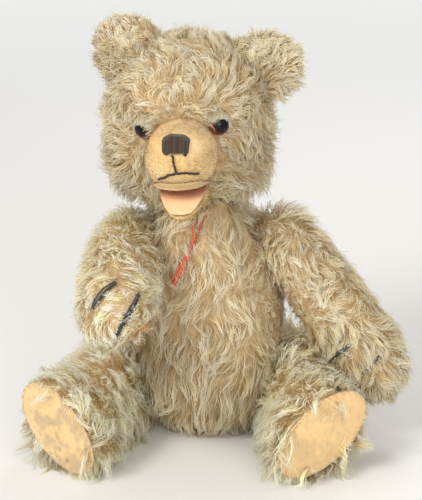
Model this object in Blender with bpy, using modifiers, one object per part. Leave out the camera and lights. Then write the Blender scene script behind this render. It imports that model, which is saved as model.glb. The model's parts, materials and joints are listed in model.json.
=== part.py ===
"""Seated, jointed mohair teddy bear with an open mouth, well worn. Metres, +Z up, the bear faces -Y.

Five disc joints (neck, shoulders, hips) carry a stuffed head, two arms and two legs on a stuffed
torso. Each limb is drawn in the frame of its own joint: local Y runs along the limb, local X points
to the back of the paw or to the toes, and local Z lies on the joint's pin.
"""

import math
from collections import namedtuple

import bmesh
import bpy
from mathutils import Matrix, Vector
from mathutils.bvhtree import BVHTree

MM = 0.001
GAP = 0.3 * MM                # clearance between pieces that touch
COVER = 3.0 * MM              # woven backing with the matted foot of its pile
FELT = 1.4 * MM
LEFT, RIGHT = 1, -1
SIDE_NAMES = {LEFT: "left", RIGHT: "right"}

# Joints: pivot on the joint plane, tilt and yaw of the outward normal, swing of the limb from level
NECK = Vector((-5.0, -1.0, 158.0)) * MM
NECK_ROLL = math.radians(-4.0)
SHOULDERS = {
    LEFT: {"pivot": (39.5, 0.0, 113.0), "tilt": 32.0, "yaw": 2.0, "swing": 65.0},
    RIGHT: {"pivot": (-41.0, -3.0, 113.0), "tilt": 14.0, "yaw": -12.0, "swing": 2.5},
}
HIPS = {
    LEFT: {"pivot": (36.0, 0.0, 31.6), "tilt": -14.0, "yaw": 10.0, "swing": 1.2},
    RIGHT: {"pivot": (-36.0, -4.0, 31.8), "tilt": -14.0, "yaw": 15.0, "swing": 2.5},
}
# Soles: toes turned outwards from upright, and the whole sole turned away from the other
SOLES = {LEFT: {"twist": 44.0, "turn": 13.0}, RIGHT: {"twist": 41.0, "turn": 10.0}}
SEAT_HEIGHT = 0.0

# Joint hardware, measured from the joint plane
PLANE_GAP = 0.25 * MM         # each cover stays this far from the joint plane
DISC_THICK = 2.4 * MM
DISC_RADIUS = {"neck": 14.0 * MM, "shoulder": 11.5 * MM, "hip": 12.5 * MM}
PIN_RADIUS = 1.4 * MM
PIN_HEAD = 4.0 * MM
HEAD_THICK = 1.2 * MM
HOLE_RADIUS = PIN_RADIUS + GAP
DISC_START = PLANE_GAP + COVER + GAP
DISC_END = DISC_START + DISC_THICK
PIN_END = DISC_END + GAP + HEAD_THICK
STUFFING_ROOM = PIN_END + 0.4 * MM
STUFFING_INSET = COVER + 0.8 * MM

# Soft forms as rings; Form, below, says what the columns are
TORSO_ENDS = (-9.0, 176.0)
TORSO_RINGS = [
    (0.0, 0.0, 0.0, 31.0, 30.0, 0.0),
    (10.0, 0.5, -1.0, 41.0, 40.0, 0.0),
    (36.0, 1.0, -4.0, 47.0, 48.0, 0.0),
    (66.0, 1.0, -6.0, 49.5, 51.0, 0.0),
    (94.0, 0.0, -4.0, 48.5, 47.0, 0.0),
    (120.0, -2.0, -1.0, 45.0, 41.0, 0.0),
    (144.0, -4.0, 0.0, 38.0, 35.0, 0.0),
    (162.0, -5.0, 0.0, 28.0, 27.0, 0.0),
]
HEAD_CENTRE = Vector((-4.0, -6.0, 48.0)) * MM       # in the neck's frame
HEAD_ENDS = (-60.0, 54.0)
HEAD_RINGS = [
    (-50.0, 0.0, 1.0, 28.0, 26.0, 0.0),
    (-36.0, 0.0, 0.0, 43.0, 38.0, 0.0),
    (-17.0, 0.0, -1.0, 51.0, 45.0, 0.0),
    (3.0, 0.0, 0.0, 51.5, 46.0, 0.0),
    (23.0, 0.0, 1.0, 48.5, 45.0, 0.0),
    (39.0, 0.0, 2.0, 38.5, 37.0, 0.0),
    (49.5, 0.0, 2.0, 21.0, 20.0, 0.0),
]
# The muzzle, chin, ears, eyes and stitches are placed from the middle of the head
MUZZLE_ENDS = (-24.0, -83.0)
MUZZLE_RINGS = [
    (-30.0, 0.0, -10.0, 20.5, 20.5, 0.0),
    (-46.0, 0.0, -10.0, 22.5, 22.5, 0.0),
    (-60.0, 0.0, -9.5, 22.5, 22.5, 0.0),
    (-72.0, 0.0, -8.5, 19.5, 19.5, 0.0),
    (-79.5, 0.0, -7.5, 11.5, 12.0, 0.0),
]
MOUTH_ROOF = -23.5                                  # flat underside of the muzzle
CHIN_ENDS = (-28.0, -79.0)
CHIN_RINGS = [
    (-36.0, 0.0, -36.6, 15.0, 6.0, 0.0),
    (-50.0, 0.0, -36.6, 15.0, 5.0, 0.0),
    (-62.0, 0.0, -38.2, 12.5, 3.8, 0.0),
    (-71.0, 0.0, -40.2, 9.5, 2.6, 0.0),
    (-77.0, 0.0, -42.0, 5.5, 1.6, 0.0),
]
LIP_ROWS = [(-18.8, 11.5), (-20.7, 14.5), (-22.7, 16.4)]           # height, half width on the muzzle
ROOF_ROWS = [(0.10, -24.8, 16.8), (0.5, -24.9, 16.2), (0.9, -25.4, 15.4)]   # part of the way in
LINING_BACK = -47.0
LIP_LIFT = 1.2 * MM
JAW_ROWS = [                                        # forward, height, half width
    (-46.4, -27.8, 14.5), (-52.0, -28.6, 15.0), (-60.0, -30.6, 14.2), (-68.0, -33.6, 12.4),
    (-75.0, -36.9, 9.6), (-79.5, -39.4, 6.2),
]
EAR_ENDS = (-20.0, 35.0)
EAR_RINGS = [
    (-12.0, 0.0, 0.0, 15.0, 5.0, 0.0),
    (2.0, 0.0, 0.0, 19.5, 6.0, 0.0),
    (14.0, 0.0, -0.5, 20.5, 5.5, 0.0),
    (25.0, 0.0, -2.0, 16.0, 4.5, 0.0),
    (31.5, 0.0, -3.5, 9.0, 3.0, 0.0),
]
EARS = {                                            # root on the head, lean away from upright
    LEFT: {"root": (38.5, 0.0, 24.0), "lean": 58.0},
    RIGHT: {"root": (-29.0, 4.0, 33.0), "lean": -22.0},
}
EYE_SPOT = (22.0, 5.8)                              # sideways and up
EYE_RADIUS = 6.0 * MM
EYE_DEPTH = 5.0 * MM
EYE_LIFT = 1.2 * MM
SHANK_RADIUS = 0.6 * MM
SHANK_LENGTH = 6.0 * MM
NOSE_ENDS = (-2.6, 2.6)
NOSE_HALF = (8.3, 7.0)
NOSE_HEIGHT = 3.2
PHILTRUM = ((-1.5, 0.0, -4.8), (-0.5, 0.0, -11.5))
MOUTH_LINE = ((-11.5, 0.0, -17.0), (-0.2, 0.0, -9.5), (12.0, 0.0, -14.5))
STITCH_RADIUS = 0.8 * MM
ARM_ENDS = (-27.0, 113.0)
ARM_RINGS = [
    (-20.0, 0.0, 11.0, 17.0, 13.0, 0.0),
    (-8.0, 0.0, 12.5, 24.0, 19.0, 0.0),
    (12.0, 2.0, 14.5, 24.5, 21.0, 0.0),
    (36.0, 3.0, 19.0, 22.5, 21.0, 0.0),
    (60.0, 0.0, 22.5, 21.0, 21.5, 0.0),
    (80.0, -6.0, 23.5, 21.5, 22.5, 0.0),
    (97.0, -12.0, 23.5, 19.0, 20.0, 0.0),
    (107.5, -15.0, 23.5, 12.0, 13.0, 0.0),
]
LEG_ENDS = (-31.0, 119.0)
LEG_RINGS = [                                       # last column: part of the sole's twist
    (-23.0, 1.0, 14.0, 18.0, 12.0, 0.0),
    (-9.0, 2.0, 15.5, 28.0, 18.5, 0.0),
    (14.0, 3.0, 17.0, 31.0, 21.0, 0.0),
    (40.0, 2.5, 19.0, 28.5, 21.0, 0.1),
    (64.0, 1.8, 20.5, 25.0, 20.5, 0.4),
    (84.0, 5.0, 23.5, 31.0, 21.5, 0.8),
    (99.0, 6.5, 25.0, 35.5, 22.0, 1.0),
    (111.0, 7.0, 25.5, 30.0, 18.0, 1.0),
]
SOLE_POINT = (101.0, 6.5, 25.0)                     # along, towards the toes, outward
SOLE_LEAN = 13.0                                    # toes drawn back towards the shin
SOLE_HALF = (36.0 * MM, 21.0 * MM)
PALM_HALF = (17.0 * MM, 11.0 * MM)
PALM_POINT = (86.0, -18.0, 9.0)                     # along, towards the back, outward
PALM_NORMAL = (0.25, -0.75, -0.65)
PAD_CROWN = 1.6
CHIN_DISH = 1.2
LINING_THICK = 1.2 * MM
# Claw threads: (along, outward, back) where each one starts and ends on the paw
CLAWS = {
    LEFT: [((79.0, 7.5, 12.0), (77.0, 23.0, 15.0)), ((95.5, 18.5, 7.0), (91.0, 33.0, 8.0))],
    RIGHT: [((90.0, 29.0, 9.0), (99.5, 39.5, -6.0)), ((92.0, 14.0, 6.0), (110.0, 24.0, -16.0))],
}
CLAW_AIMS = {LEFT: (-0.12, -0.98, -0.17), RIGHT: (-0.93, -0.34, -0.15)}   # along, back, outward
TOE_CLAWS = [((86.0, 27.0, 38.0), (95.5, 30.0, 34.0))]
THREAD_RADIUS = 1.0 * MM
THREAD_LIFT = 0.8 * MM
THREAD_ROUTE = [(3.0, 153.5), (0.0, 148.0), (-3.0, 142.0), (-4.5, 135.0), (-9.0, 126.0)]
KNOT_RADIUS = 2.3 * MM
TASSEL_TIP = (-18.5, 106.0)
TASSEL_RADIUS = 2.0 * MM
TASSEL_LENGTH = 15.0 * MM


def clear_scene():
    for obj in list(bpy.data.objects):
        bpy.data.objects.remove(obj, do_unlink=True)


def make_collection(name):
    collection = bpy.data.collections.new(name)
    bpy.context.scene.collection.children.link(collection)
    return collection


def make_material(name, colour, roughness, metallic=0.0):
    material = bpy.data.materials.new(name)
    material.use_nodes = True
    shader = material.node_tree.nodes["Principled BSDF"]
    shader.inputs["Base Color"].default_value = (*colour, 1.0)
    shader.inputs["Roughness"].default_value = roughness
    shader.inputs["Metallic"].default_value = metallic
    return material


# A soft form: rings across it (distance along, centre a and b, half widths a and b, twist in degrees),
# the distances along of its two ends, and place(along, a, b), the point that they stand for. All in mm.
Form = namedtuple("Form", "rings ends place segments")


def upright_place(along, a, b):
    return Vector((a, b, along))


def face_place(along, a, b):
    """Forms that run forward from the middle of the head."""
    return HEAD_CENTRE / MM + Vector((a, along, b))


def head_place(along, a, b):
    return HEAD_CENTRE / MM + Vector((a, b, along))


def limb_place(side):
    def place(along, a, b):
        return Vector((a, along, side * b))
    return place


class Bear:
    """The collections and materials that every piece shares."""

    def __init__(self):
        self.parts = make_collection("teddy_bear")
        self.cutters = make_collection("teddy_bear_cutters")
        self.mohair = make_material("curly_mohair", (0.60, 0.50, 0.35), 0.85)
        self.clipped = make_material("clipped_mohair", (0.58, 0.38, 0.19), 0.80)
        self.felt = make_material("peach_felt", (0.80, 0.48, 0.24), 0.92)
        self.pad_felt = make_material("rust_felt", (0.45, 0.18, 0.07), 0.92)
        self.glass = make_material("brown_glass", (0.06, 0.018, 0.008), 0.06)
        self.silk = make_material("dark_brown_thread", (0.035, 0.018, 0.014), 0.55)
        self.claw_thread = make_material("black_thread", (0.015, 0.014, 0.016), 0.55)
        self.red = make_material("red_thread", (0.55, 0.06, 0.03), 0.60)
        self.wool = make_material("wood_wool", (0.55, 0.42, 0.22), 0.95)
        self.board = make_material("hardboard", (0.20, 0.11, 0.05), 0.75)
        self.steel = make_material("steel", (0.45, 0.44, 0.42), 0.35, 1.0)

    def add(self, name, data, material, parent=None, matrix=None):
        """A named part from mesh or curve data, placed in its parent's frame."""
        data.name = name
        data.materials.append(material)
        obj = bpy.data.objects.new(name, data)
        self.parts.objects.link(obj)
        obj.parent = parent
        obj.matrix_local = matrix or Matrix.Identity(4)
        return obj

    def add_cutter(self, name, data, parent=None, matrix=None):
        obj = bpy.data.objects.new(name, data)
        self.cutters.objects.link(obj)
        obj.parent = parent
        obj.matrix_local = matrix or Matrix.Identity(4)
        obj.hide_render = True
        obj.display_type = "WIRE"
        return obj

    def frame(self, name, matrix):
        empty = bpy.data.objects.new(name, None)
        empty.empty_display_size = 0.02
        self.parts.objects.link(empty)
        empty.matrix_world = matrix
        return empty


# ---------------------------------------------------------------- shapes

def cut(obj, cutter):
    modifier = obj.modifiers.new("cut_" + cutter.name, "BOOLEAN")
    modifier.operation = "DIFFERENCE"
    modifier.object = cutter


def join(obj, other):
    modifier = obj.modifiers.new("join_" + other.name, "BOOLEAN")
    modifier.operation = "UNION"
    modifier.object = other


def smooth(mesh, levels):
    """The mesh after Subdivision Surface, as plain vertices and faces."""
    obj = bpy.data.objects.new("cage", mesh)
    bpy.context.scene.collection.objects.link(obj)
    subsurf = obj.modifiers.new("subsurf", "SUBSURF")
    subsurf.levels = levels
    subsurf.render_levels = levels
    evaluated = obj.evaluated_get(bpy.context.evaluated_depsgraph_get())
    result = bpy.data.meshes.new_from_object(evaluated)
    bpy.data.objects.remove(obj)
    bpy.data.meshes.remove(mesh)
    return result


def face_outward(bm):
    bmesh.ops.recalc_face_normals(bm, faces=bm.faces)
    if bm.calc_volume(signed=True) < 0.0:
        bmesh.ops.reverse_faces(bm, faces=bm.faces)


def ring_cage(form):
    """A UV sphere whose rings are moved onto the form's own."""
    count = len(form.rings)
    bm = bmesh.new()
    bmesh.ops.create_uvsphere(bm, u_segments=form.segments, v_segments=count + 1, radius=1.0)
    swell = 3.0 / (2.0 + math.cos(math.tau / form.segments))
    for vert in bm.verts:
        row = round(math.acos(max(-1.0, min(1.0, vert.co.z))) * (count + 1) / math.pi)
        if row in (0, count + 1):
            end, ring = (form.ends[0], form.rings[0]) if row == 0 else (form.ends[1], form.rings[-1])
            vert.co = form.place(end, ring[1], ring[2]) * MM
            continue
        along, centre_a, centre_b, half_a, half_b, twist = form.rings[row - 1]
        angle, turn = math.atan2(vert.co.y, vert.co.x), math.radians(twist)
        a, b = half_a * swell * math.cos(angle), half_b * swell * math.sin(angle)
        a, b = a * math.cos(turn) - b * math.sin(turn), a * math.sin(turn) + b * math.cos(turn)
        vert.co = form.place(along, centre_a + a, centre_b + b) * MM
    face_outward(bm)
    mesh = bpy.data.meshes.new("cage")
    bm.to_mesh(mesh)
    bm.free()
    return mesh


def press_flat(bm, point, outward):
    """Everything beyond the plane is taken off and the plane is closed with one flat face."""
    bmesh.ops.bisect_plane(bm, geom=[*bm.verts, *bm.edges, *bm.faces], dist=0.00001,
                           plane_co=point, plane_no=outward, clear_outer=True)
    open_edges = [edge for edge in bm.edges if edge.is_boundary]
    rim = list({vert for edge in open_edges for vert in edge.verts})
    bmesh.ops.remove_doubles(bm, verts=rim, dist=0.4 * MM)
    bmesh.ops.contextual_create(bm, geom=[edge for edge in bm.edges if edge.is_boundary])


def soft_form(form, flats=(), inset=0.0, rooms=None):
    """A smooth stuffed form, drawn in by inset and pressed flat at the flats, each set back by its room."""
    mesh = smooth(ring_cage(form), 1)
    bm = bmesh.new()
    bm.from_mesh(mesh)
    bm.normal_update()
    normals = {vert: vert.normal.copy() for vert in bm.verts}
    for vert, normal in normals.items():
        vert.co -= normal * inset
    for index, (point, outward) in enumerate(flats):
        room = rooms[index] if rooms else inset
        press_flat(bm, point - outward * room, outward)
    face_outward(bm)
    bm.to_mesh(mesh)
    bm.free()
    return mesh


def sewn_cover(bear, name, form, flats, frame, cutters):
    """A cover of woven pile: the form less its own inside, opened where the cutters say."""
    outer = soft_form(form, flats)
    cover = bear.add(name, outer, bear.mohair, frame)
    cut(cover, bear.add_cutter(name + "_inside", soft_form(form, flats, COVER), frame))
    for cutter in cutters:
        cut(cover, cutter)
    return cover


def turned_mesh(profile, steps):
    """A profile of (radius, height) turned about Z with the Screw modifier."""
    mesh = bpy.data.meshes.new("profile")
    edges = [(i, i + 1) for i in range(len(profile) - 1)]
    if profile[0][0] > 0.0:
        edges.append((len(profile) - 1, 0))
    mesh.from_pydata([(radius, 0.0, height) for radius, height in profile], edges, [])
    obj = bpy.data.objects.new("profile", mesh)
    bpy.context.scene.collection.objects.link(obj)
    screw = obj.modifiers.new("turn", "SCREW")
    screw.steps = steps
    screw.render_steps = steps
    screw.use_merge_vertices = True
    screw.merge_threshold = 0.00001
    evaluated = obj.evaluated_get(bpy.context.evaluated_depsgraph_get())
    result = bpy.data.meshes.new_from_object(evaluated)
    bpy.data.objects.remove(obj)
    bpy.data.meshes.remove(mesh)
    bm = bmesh.new()
    bm.from_mesh(result)
    face_outward(bm)
    bm.to_mesh(result)
    bm.free()
    return result


def cylinder_mesh(radius, low, high, sides=12, stretch=1.0):
    bm = bmesh.new()
    bmesh.ops.create_cone(bm, cap_ends=True, segments=sides, radius1=radius, radius2=radius,
                          depth=high - low)
    bmesh.ops.scale(bm, vec=(stretch, 1.0, 1.0), verts=bm.verts)
    bmesh.ops.translate(bm, vec=(0.0, 0.0, (high + low) / 2.0), verts=bm.verts)
    mesh = bpy.data.meshes.new("cylinder")
    bm.to_mesh(mesh)
    bm.free()
    return mesh


def sphere_mesh(radius):
    bm = bmesh.new()
    bmesh.ops.create_icosphere(bm, subdivisions=2, radius=radius)
    mesh = bpy.data.meshes.new("sphere")
    bm.to_mesh(mesh)
    bm.free()
    return mesh


def tube_curve(points, radius, resolution=2):
    curve = bpy.data.curves.new("tube", "CURVE")
    curve.dimensions = "3D"
    curve.bevel_depth = radius
    curve.bevel_resolution = resolution
    curve.use_fill_caps = True
    spline = curve.splines.new("POLY")
    spline.points.add(len(points) - 1)
    for target, point in zip(spline.points, points):
        target.co = (*point, 1.0)
    return curve


def smooth_route(points, spacing):
    """Points spaced evenly along a Catmull-Rom curve through the route's own points."""
    route = [2 * points[0] - points[1], *points, 2 * points[-1] - points[-2]]
    fine = []
    for p0, p1, p2, p3 in zip(route, route[1:], route[2:], route[3:]):
        for step in range(20):
            t = step / 20.0
            fine.append(0.5 * (2 * p1 + (p2 - p0) * t + (2 * p0 - 5 * p1 + 4 * p2 - p3) * t ** 2
                               + (3 * p1 - p0 - 3 * p2 + p3) * t ** 3))
    fine.append(points[-1])
    lengths = [0.0]
    for before, after in zip(fine, fine[1:]):
        lengths.append(lengths[-1] + (after - before).length)
    count = max(2, round(lengths[-1] / spacing))
    even = []
    for index in range(count + 1):
        target = lengths[-1] * index / count
        after = next(i for i, length in enumerate(lengths) if length >= target - 1e-12)
        before = max(after - 1, 0)
        span = lengths[after] - lengths[before]
        part = (target - lengths[before]) / span if span > 0.0 else 0.0
        even.append(fine[before].lerp(fine[after], part))
    return even


def surface_tree(mesh):
    return BVHTree.FromPolygons([v.co.copy() for v in mesh.vertices], [p.vertices[:] for p in mesh.polygons])


def stitch_points(tree, guide, direction, lift, count=7):
    """Points of a thread laid on a surface: guide points are cast along direction, then lifted."""
    start, end = Vector(guide[0]) * MM, Vector(guide[-1]) * MM
    middle = Vector(guide[1]) * MM if len(guide) == 3 else (start + end) / 2.0
    points = []
    for index in range(count):
        t = index / (count - 1)
        aim = start.lerp(middle, t).lerp(middle.lerp(end, t), t)
        hit, normal, _, _ = tree.ray_cast(aim - direction * 150 * MM, direction)
        if hit is None:
            hit, normal, _, _ = tree.find_nearest(aim)
        points.append(hit + normal * lift)
    return points


# ---------------------------------------------------------------- frames and joints

def limb_matrix(side, pivot, tilt, yaw, swing):
    """Frame on a joint's plane: X to the back of the paw, Y along the limb, Z along the pin."""
    tilt, yaw, swing = (math.radians(angle) for angle in (tilt, yaw, swing))
    outward = Vector((side * math.cos(tilt) * math.cos(yaw), math.cos(tilt) * math.sin(yaw), math.sin(tilt)))
    forward = Vector((side * math.sin(yaw), -math.cos(yaw), 0.0))
    down = Vector((side * math.sin(tilt) * math.cos(yaw), math.sin(tilt) * math.sin(yaw), -math.cos(tilt)))
    along = forward * math.cos(swing) + down * math.sin(swing)
    back = forward * math.sin(swing) - down * math.cos(swing)
    rotation = Matrix((back, along, side * outward)).transposed()
    return Matrix.Translation(Vector(pivot) * MM) @ rotation.to_4x4()


def neck_matrix():
    return Matrix.Translation(NECK) @ Matrix.Rotation(NECK_ROLL, 4, "Y")


def joint_flat(matrix, side, limb):
    """The joint's plane as (point, normal): in the limb's own frame, or in the torso's."""
    axis = Vector((0.0, 0.0, float(side)))
    if limb:
        return axis * PLANE_GAP, -axis
    normal = matrix.to_3x3() @ axis
    return matrix.translation - normal * PLANE_GAP, normal


def joint_hardware(bear, name, kind, frame, side):
    """Two hardboard discs and the steel pin that draws them together, all on the joint's axis."""
    radius = DISC_RADIUS[kind]
    washer = [(radius, DISC_END), (radius, DISC_START), (HOLE_RADIUS, DISC_START), (HOLE_RADIUS, DISC_END)]
    outer = Matrix.Rotation(0.0 if side == LEFT else math.pi, 4, "X")
    inner = Matrix.Rotation(math.pi if side == LEFT else 0.0, 4, "X")
    bear.add(name + "_outer_disc", turned_mesh(washer, 16), bear.board, frame, outer)
    bear.add(name + "_inner_disc", turned_mesh(washer, 16), bear.board, frame, inner)
    top, under = PIN_END, PIN_END - HEAD_THICK
    profile = [(0.0, top), (PIN_HEAD, top), (PIN_HEAD, under), (PIN_RADIUS, under),
               (PIN_RADIUS, -under), (PIN_HEAD, -under), (PIN_HEAD, -top), (0.0, -top)]
    bear.add(name + "_pin", turned_mesh(profile, 10), bear.steel, frame)
    hole = cylinder_mesh(HOLE_RADIUS, -9 * MM, 9 * MM, 10)
    return bear.add_cutter(name + "_pin_hole", hole, frame)


# ---------------------------------------------------------------- torso

def build_torso(bear, frames, holes):
    form = Form(TORSO_RINGS, TORSO_ENDS, upright_place, 10)
    seat = (Vector((0.0, 0.0, SEAT_HEIGHT)), Vector((0.0, 0.0, -1.0)))
    flats = [seat, *(joint_flat(frame.matrix_world, side, False) for frame, side in frames)]
    cover = sewn_cover(bear, "torso_cover", form, flats, None, holes)
    rooms = [STUFFING_INSET] + [STUFFING_ROOM - PLANE_GAP] * len(frames)
    bear.add("torso_stuffing", soft_form(form, flats, STUFFING_INSET, rooms), bear.wool)
    return cover.data


def build_thread(bear, torso_mesh):
    """A red thread hangs from the neck seam down the chest, with a knot and a frayed end."""
    tree = surface_tree(torso_mesh)
    route = []
    for x, z in THREAD_ROUTE:
        hit, normal, _, _ = tree.ray_cast(Vector((x, -100.0, z)) * MM, Vector((0.0, 1.0, 0.0)))
        route.append(hit + normal * (THREAD_RADIUS + THREAD_LIFT))
    points = smooth_route(route, THREAD_RADIUS * 5.0)
    bear.add("red_thread", tube_curve(points, THREAD_RADIUS), bear.red)
    down = (points[-1] - points[-2]).normalized()
    lift = (KNOT_RADIUS - THREAD_RADIUS) * tree.find_nearest(points[-1])[1]
    knot = points[-1] + down * (KNOT_RADIUS + GAP) + lift
    knot_mesh = sphere_mesh(KNOT_RADIUS)
    bear.add("red_knot", knot_mesh, bear.red, matrix=Matrix.Translation(knot))
    aim = Vector((TASSEL_TIP[0], -100.0, TASSEL_TIP[1])) * MM
    hit, normal, _, _ = tree.ray_cast(aim, Vector((0.0, 1.0, 0.0)))
    tip = hit + normal * (TASSEL_RADIUS + THREAD_LIFT)
    fall = (tip - knot).normalized()
    top = KNOT_RADIUS + GAP
    profile = [(0.0, top), (TASSEL_RADIUS * 0.6, top), (TASSEL_RADIUS * 0.9, top + TASSEL_LENGTH * 0.3),
               (TASSEL_RADIUS, top + TASSEL_LENGTH * 0.7), (TASSEL_RADIUS * 0.5, top + TASSEL_LENGTH),
               (0.0, top + TASSEL_LENGTH)]
    turn = fall.to_track_quat("Z", "Y").to_matrix().to_4x4()
    bear.add("red_tassel", turned_mesh(profile, 8), bear.red, matrix=Matrix.Translation(knot) @ turn)


# ---------------------------------------------------------------- arms and legs

def plate_matrix(point, normal, long_axis):
    """Frame of a flat pad: Z along the surface's normal and X along the pad's length."""
    x_axis = (long_axis - normal * long_axis.dot(normal)).normalized()
    y_axis = normal.cross(x_axis)
    rotation = Matrix((x_axis, y_axis, normal)).transposed().to_4x4()
    return Matrix.Translation(point) @ rotation


def pad_mesh(half):
    """A felt pad: oval, flat behind and slightly full in front, as if padded from within."""
    length, width = half[0] / MM, half[1] / MM
    base = GAP / MM
    edge, top = base + FELT / MM, base + FELT / MM + PAD_CROWN
    rings = [(base, 0.0, 0.0, length * 0.55, width * 0.55, 0.0), (base, 0.0, 0.0, length, width, 0.0),
             (edge, 0.0, 0.0, length * 0.98, width * 0.97, 0.0),
             (top, 0.0, 0.0, length * 0.5, width * 0.5, 0.0)]
    floor = (Vector((0.0, 0.0, GAP)), Vector((0.0, 0.0, -1.0)))
    return soft_form(Form(rings, (base, top), upright_place, 8), [floor])


def opening_mesh(half, rim):
    """Cutter for the opening that a pad closes: an oval smaller than the pad by the rim."""
    length, width = half[0] - rim, half[1] - rim
    return cylinder_mesh(width, -8 * MM, 4 * MM, 14, stretch=length / width)


def claw_stitches(bear, name, tree, side, frame, claws, direction):
    place = limb_place(side)
    for number, (start, end) in enumerate(claws, start=1):
        guide = [place(start[0], start[2], start[1]), place(end[0], end[2], end[1])]
        points = stitch_points(tree, guide, direction, STITCH_RADIUS + GAP)
        bear.add(f"{name}_{number}", tube_curve(points, STITCH_RADIUS), bear.claw_thread, frame)


def build_arm(bear, side, frame, hole):
    label = SIDE_NAMES[side]
    place = limb_place(side)
    form = Form(ARM_RINGS, ARM_ENDS, place, 8)
    palm_point = place(*PALM_POINT) * MM
    palm_normal = place(*PALM_NORMAL).normalized()
    flats = [joint_flat(frame.matrix_world, side, True), (palm_point, palm_normal)]
    pad_matrix = plate_matrix(palm_point, palm_normal, place(1.0, 0.0, 0.0))
    opening = bear.add_cutter("palm_opening_" + label, opening_mesh(PALM_HALF, 3 * MM), frame, pad_matrix)
    cover = sewn_cover(bear, "arm_cover_" + label, form, flats, frame, [hole, opening])
    bear.add("palm_pad_" + label, pad_mesh(PALM_HALF), bear.pad_felt, frame, pad_matrix)
    rooms = [STUFFING_ROOM - PLANE_GAP, STUFFING_INSET]
    bear.add("arm_stuffing_" + label, soft_form(form, flats, STUFFING_INSET, rooms), bear.wool, frame)
    tree = surface_tree(cover.data)
    direction = place(*CLAW_AIMS[side]).normalized()
    claw_stitches(bear, "claw_stitch_" + label, tree, side, frame, CLAWS[side], direction)


def build_leg(bear, side, frame, hole):
    label = SIDE_NAMES[side]
    place = limb_place(side)
    twist = math.radians(SOLES[side]["twist"])
    rings = [(*ring[:5], ring[5] * SOLES[side]["twist"]) for ring in LEG_RINGS]
    form = Form(rings, LEG_ENDS, place, 8)
    toes = place(0.0, math.cos(twist), math.sin(twist))
    turned = place(1.0, 0.0, math.tan(math.radians(SOLES[side]["turn"])))
    normal = (turned + toes * math.tan(math.radians(SOLE_LEAN))).normalized()
    point = place(*SOLE_POINT) * MM
    flats = [joint_flat(frame.matrix_world, side, True), (point, normal)]
    sole_matrix = plate_matrix(point, normal, toes)
    opening = bear.add_cutter("sole_opening_" + label, opening_mesh(SOLE_HALF, 5.5 * MM), frame, sole_matrix)
    cover = sewn_cover(bear, "leg_cover_" + label, form, flats, frame, [hole, opening])
    bear.add("sole_" + label, pad_mesh(SOLE_HALF), bear.felt, frame, sole_matrix)
    rooms = [STUFFING_ROOM - PLANE_GAP, STUFFING_INSET]
    bear.add("leg_stuffing_" + label, soft_form(form, flats, STUFFING_INSET, rooms), bear.wool, frame)
    if side == LEFT:
        tree = surface_tree(cover.data)
        direction = place(0.3, -1.0, 0.0).normalized()
        claw_stitches(bear, "toe_stitch_" + label, tree, side, frame, TOE_CLAWS, direction)


# ---------------------------------------------------------------- head

def build_head(bear, frame, hole):
    head = Form(HEAD_RINGS, HEAD_ENDS, head_place, 10)
    muzzle = Form(MUZZLE_RINGS, MUZZLE_ENDS, face_place, 10)
    neck_flat = joint_flat(frame.matrix_world, LEFT, True)
    roof = (HEAD_CENTRE + Vector((0.0, 0.0, MOUTH_ROOF)) * MM, Vector((0.0, 0.0, -1.0)))
    grown = bear.add_cutter("head_outside", soft_form(head, [], -GAP), frame)
    muzzle_inside = bear.add_cutter("muzzle_inside", soft_form(muzzle, [roof], COVER), frame)
    tree = surface_tree(soft_form(head, [neck_flat]))
    eye_frames = [eye_matrix(tree, side) for side in (LEFT, RIGHT)]
    sockets = []
    for side, matrix in zip((LEFT, RIGHT), eye_frames):
        socket = cylinder_mesh(SHANK_RADIUS + GAP, -SHANK_LENGTH - GAP, 3 * MM, 8)
        sockets.append(bear.add_cutter("eye_hole_" + SIDE_NAMES[side], socket, frame, matrix))
        bear.add("eye_" + SIDE_NAMES[side], eye_mesh(), bear.glass, frame, matrix)
    sewn_cover(bear, "head_cover", head, [neck_flat], frame, [hole, muzzle_inside, *sockets])
    rooms = [STUFFING_ROOM - PLANE_GAP]
    filling = soft_form(head, [neck_flat], STUFFING_INSET, rooms)
    stuffing = bear.add("head_stuffing", filling, bear.wool, frame)
    snout = bear.add_cutter("muzzle_stuffing", soft_form(muzzle, [roof], STUFFING_INSET), frame)
    join(stuffing, snout)
    for socket in sockets:
        cut(stuffing, socket)
    muzzle_mesh = soft_form(muzzle, [roof])
    muzzle_cover = bear.add("muzzle_cover", muzzle_mesh, bear.clipped, frame)
    cut(muzzle_cover, muzzle_inside)
    cut(muzzle_cover, grown)
    build_ears(bear, frame, grown)
    muzzle_tree = surface_tree(muzzle_mesh)
    build_mouth(bear, frame, grown, muzzle_tree)
    build_nose(bear, frame, muzzle_tree)


def build_ears(bear, frame, grown):
    for side, ear in EARS.items():
        form = Form(EAR_RINGS, EAR_ENDS, upright_place, 8)
        lean = Matrix.Rotation(math.radians(ear["lean"]), 4, "Y")
        root = Matrix.Translation(HEAD_CENTRE + Vector(ear["root"]) * MM)
        piece = bear.add("ear_" + SIDE_NAMES[side], soft_form(form), bear.mohair, frame, root @ lean)
        cut(piece, grown)


def eye_matrix(tree, side):
    aim = HEAD_CENTRE + Vector((side * EYE_SPOT[0], -100.0, EYE_SPOT[1])) * MM
    hit, normal, _, _ = tree.ray_cast(aim, Vector((0.0, 1.0, 0.0)))
    outward = (normal + Vector((0.0, -0.6, 0.0))).normalized()
    return plate_matrix(hit + normal * EYE_LIFT, outward, Vector((1.0, 0.0, 0.0)))


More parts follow.
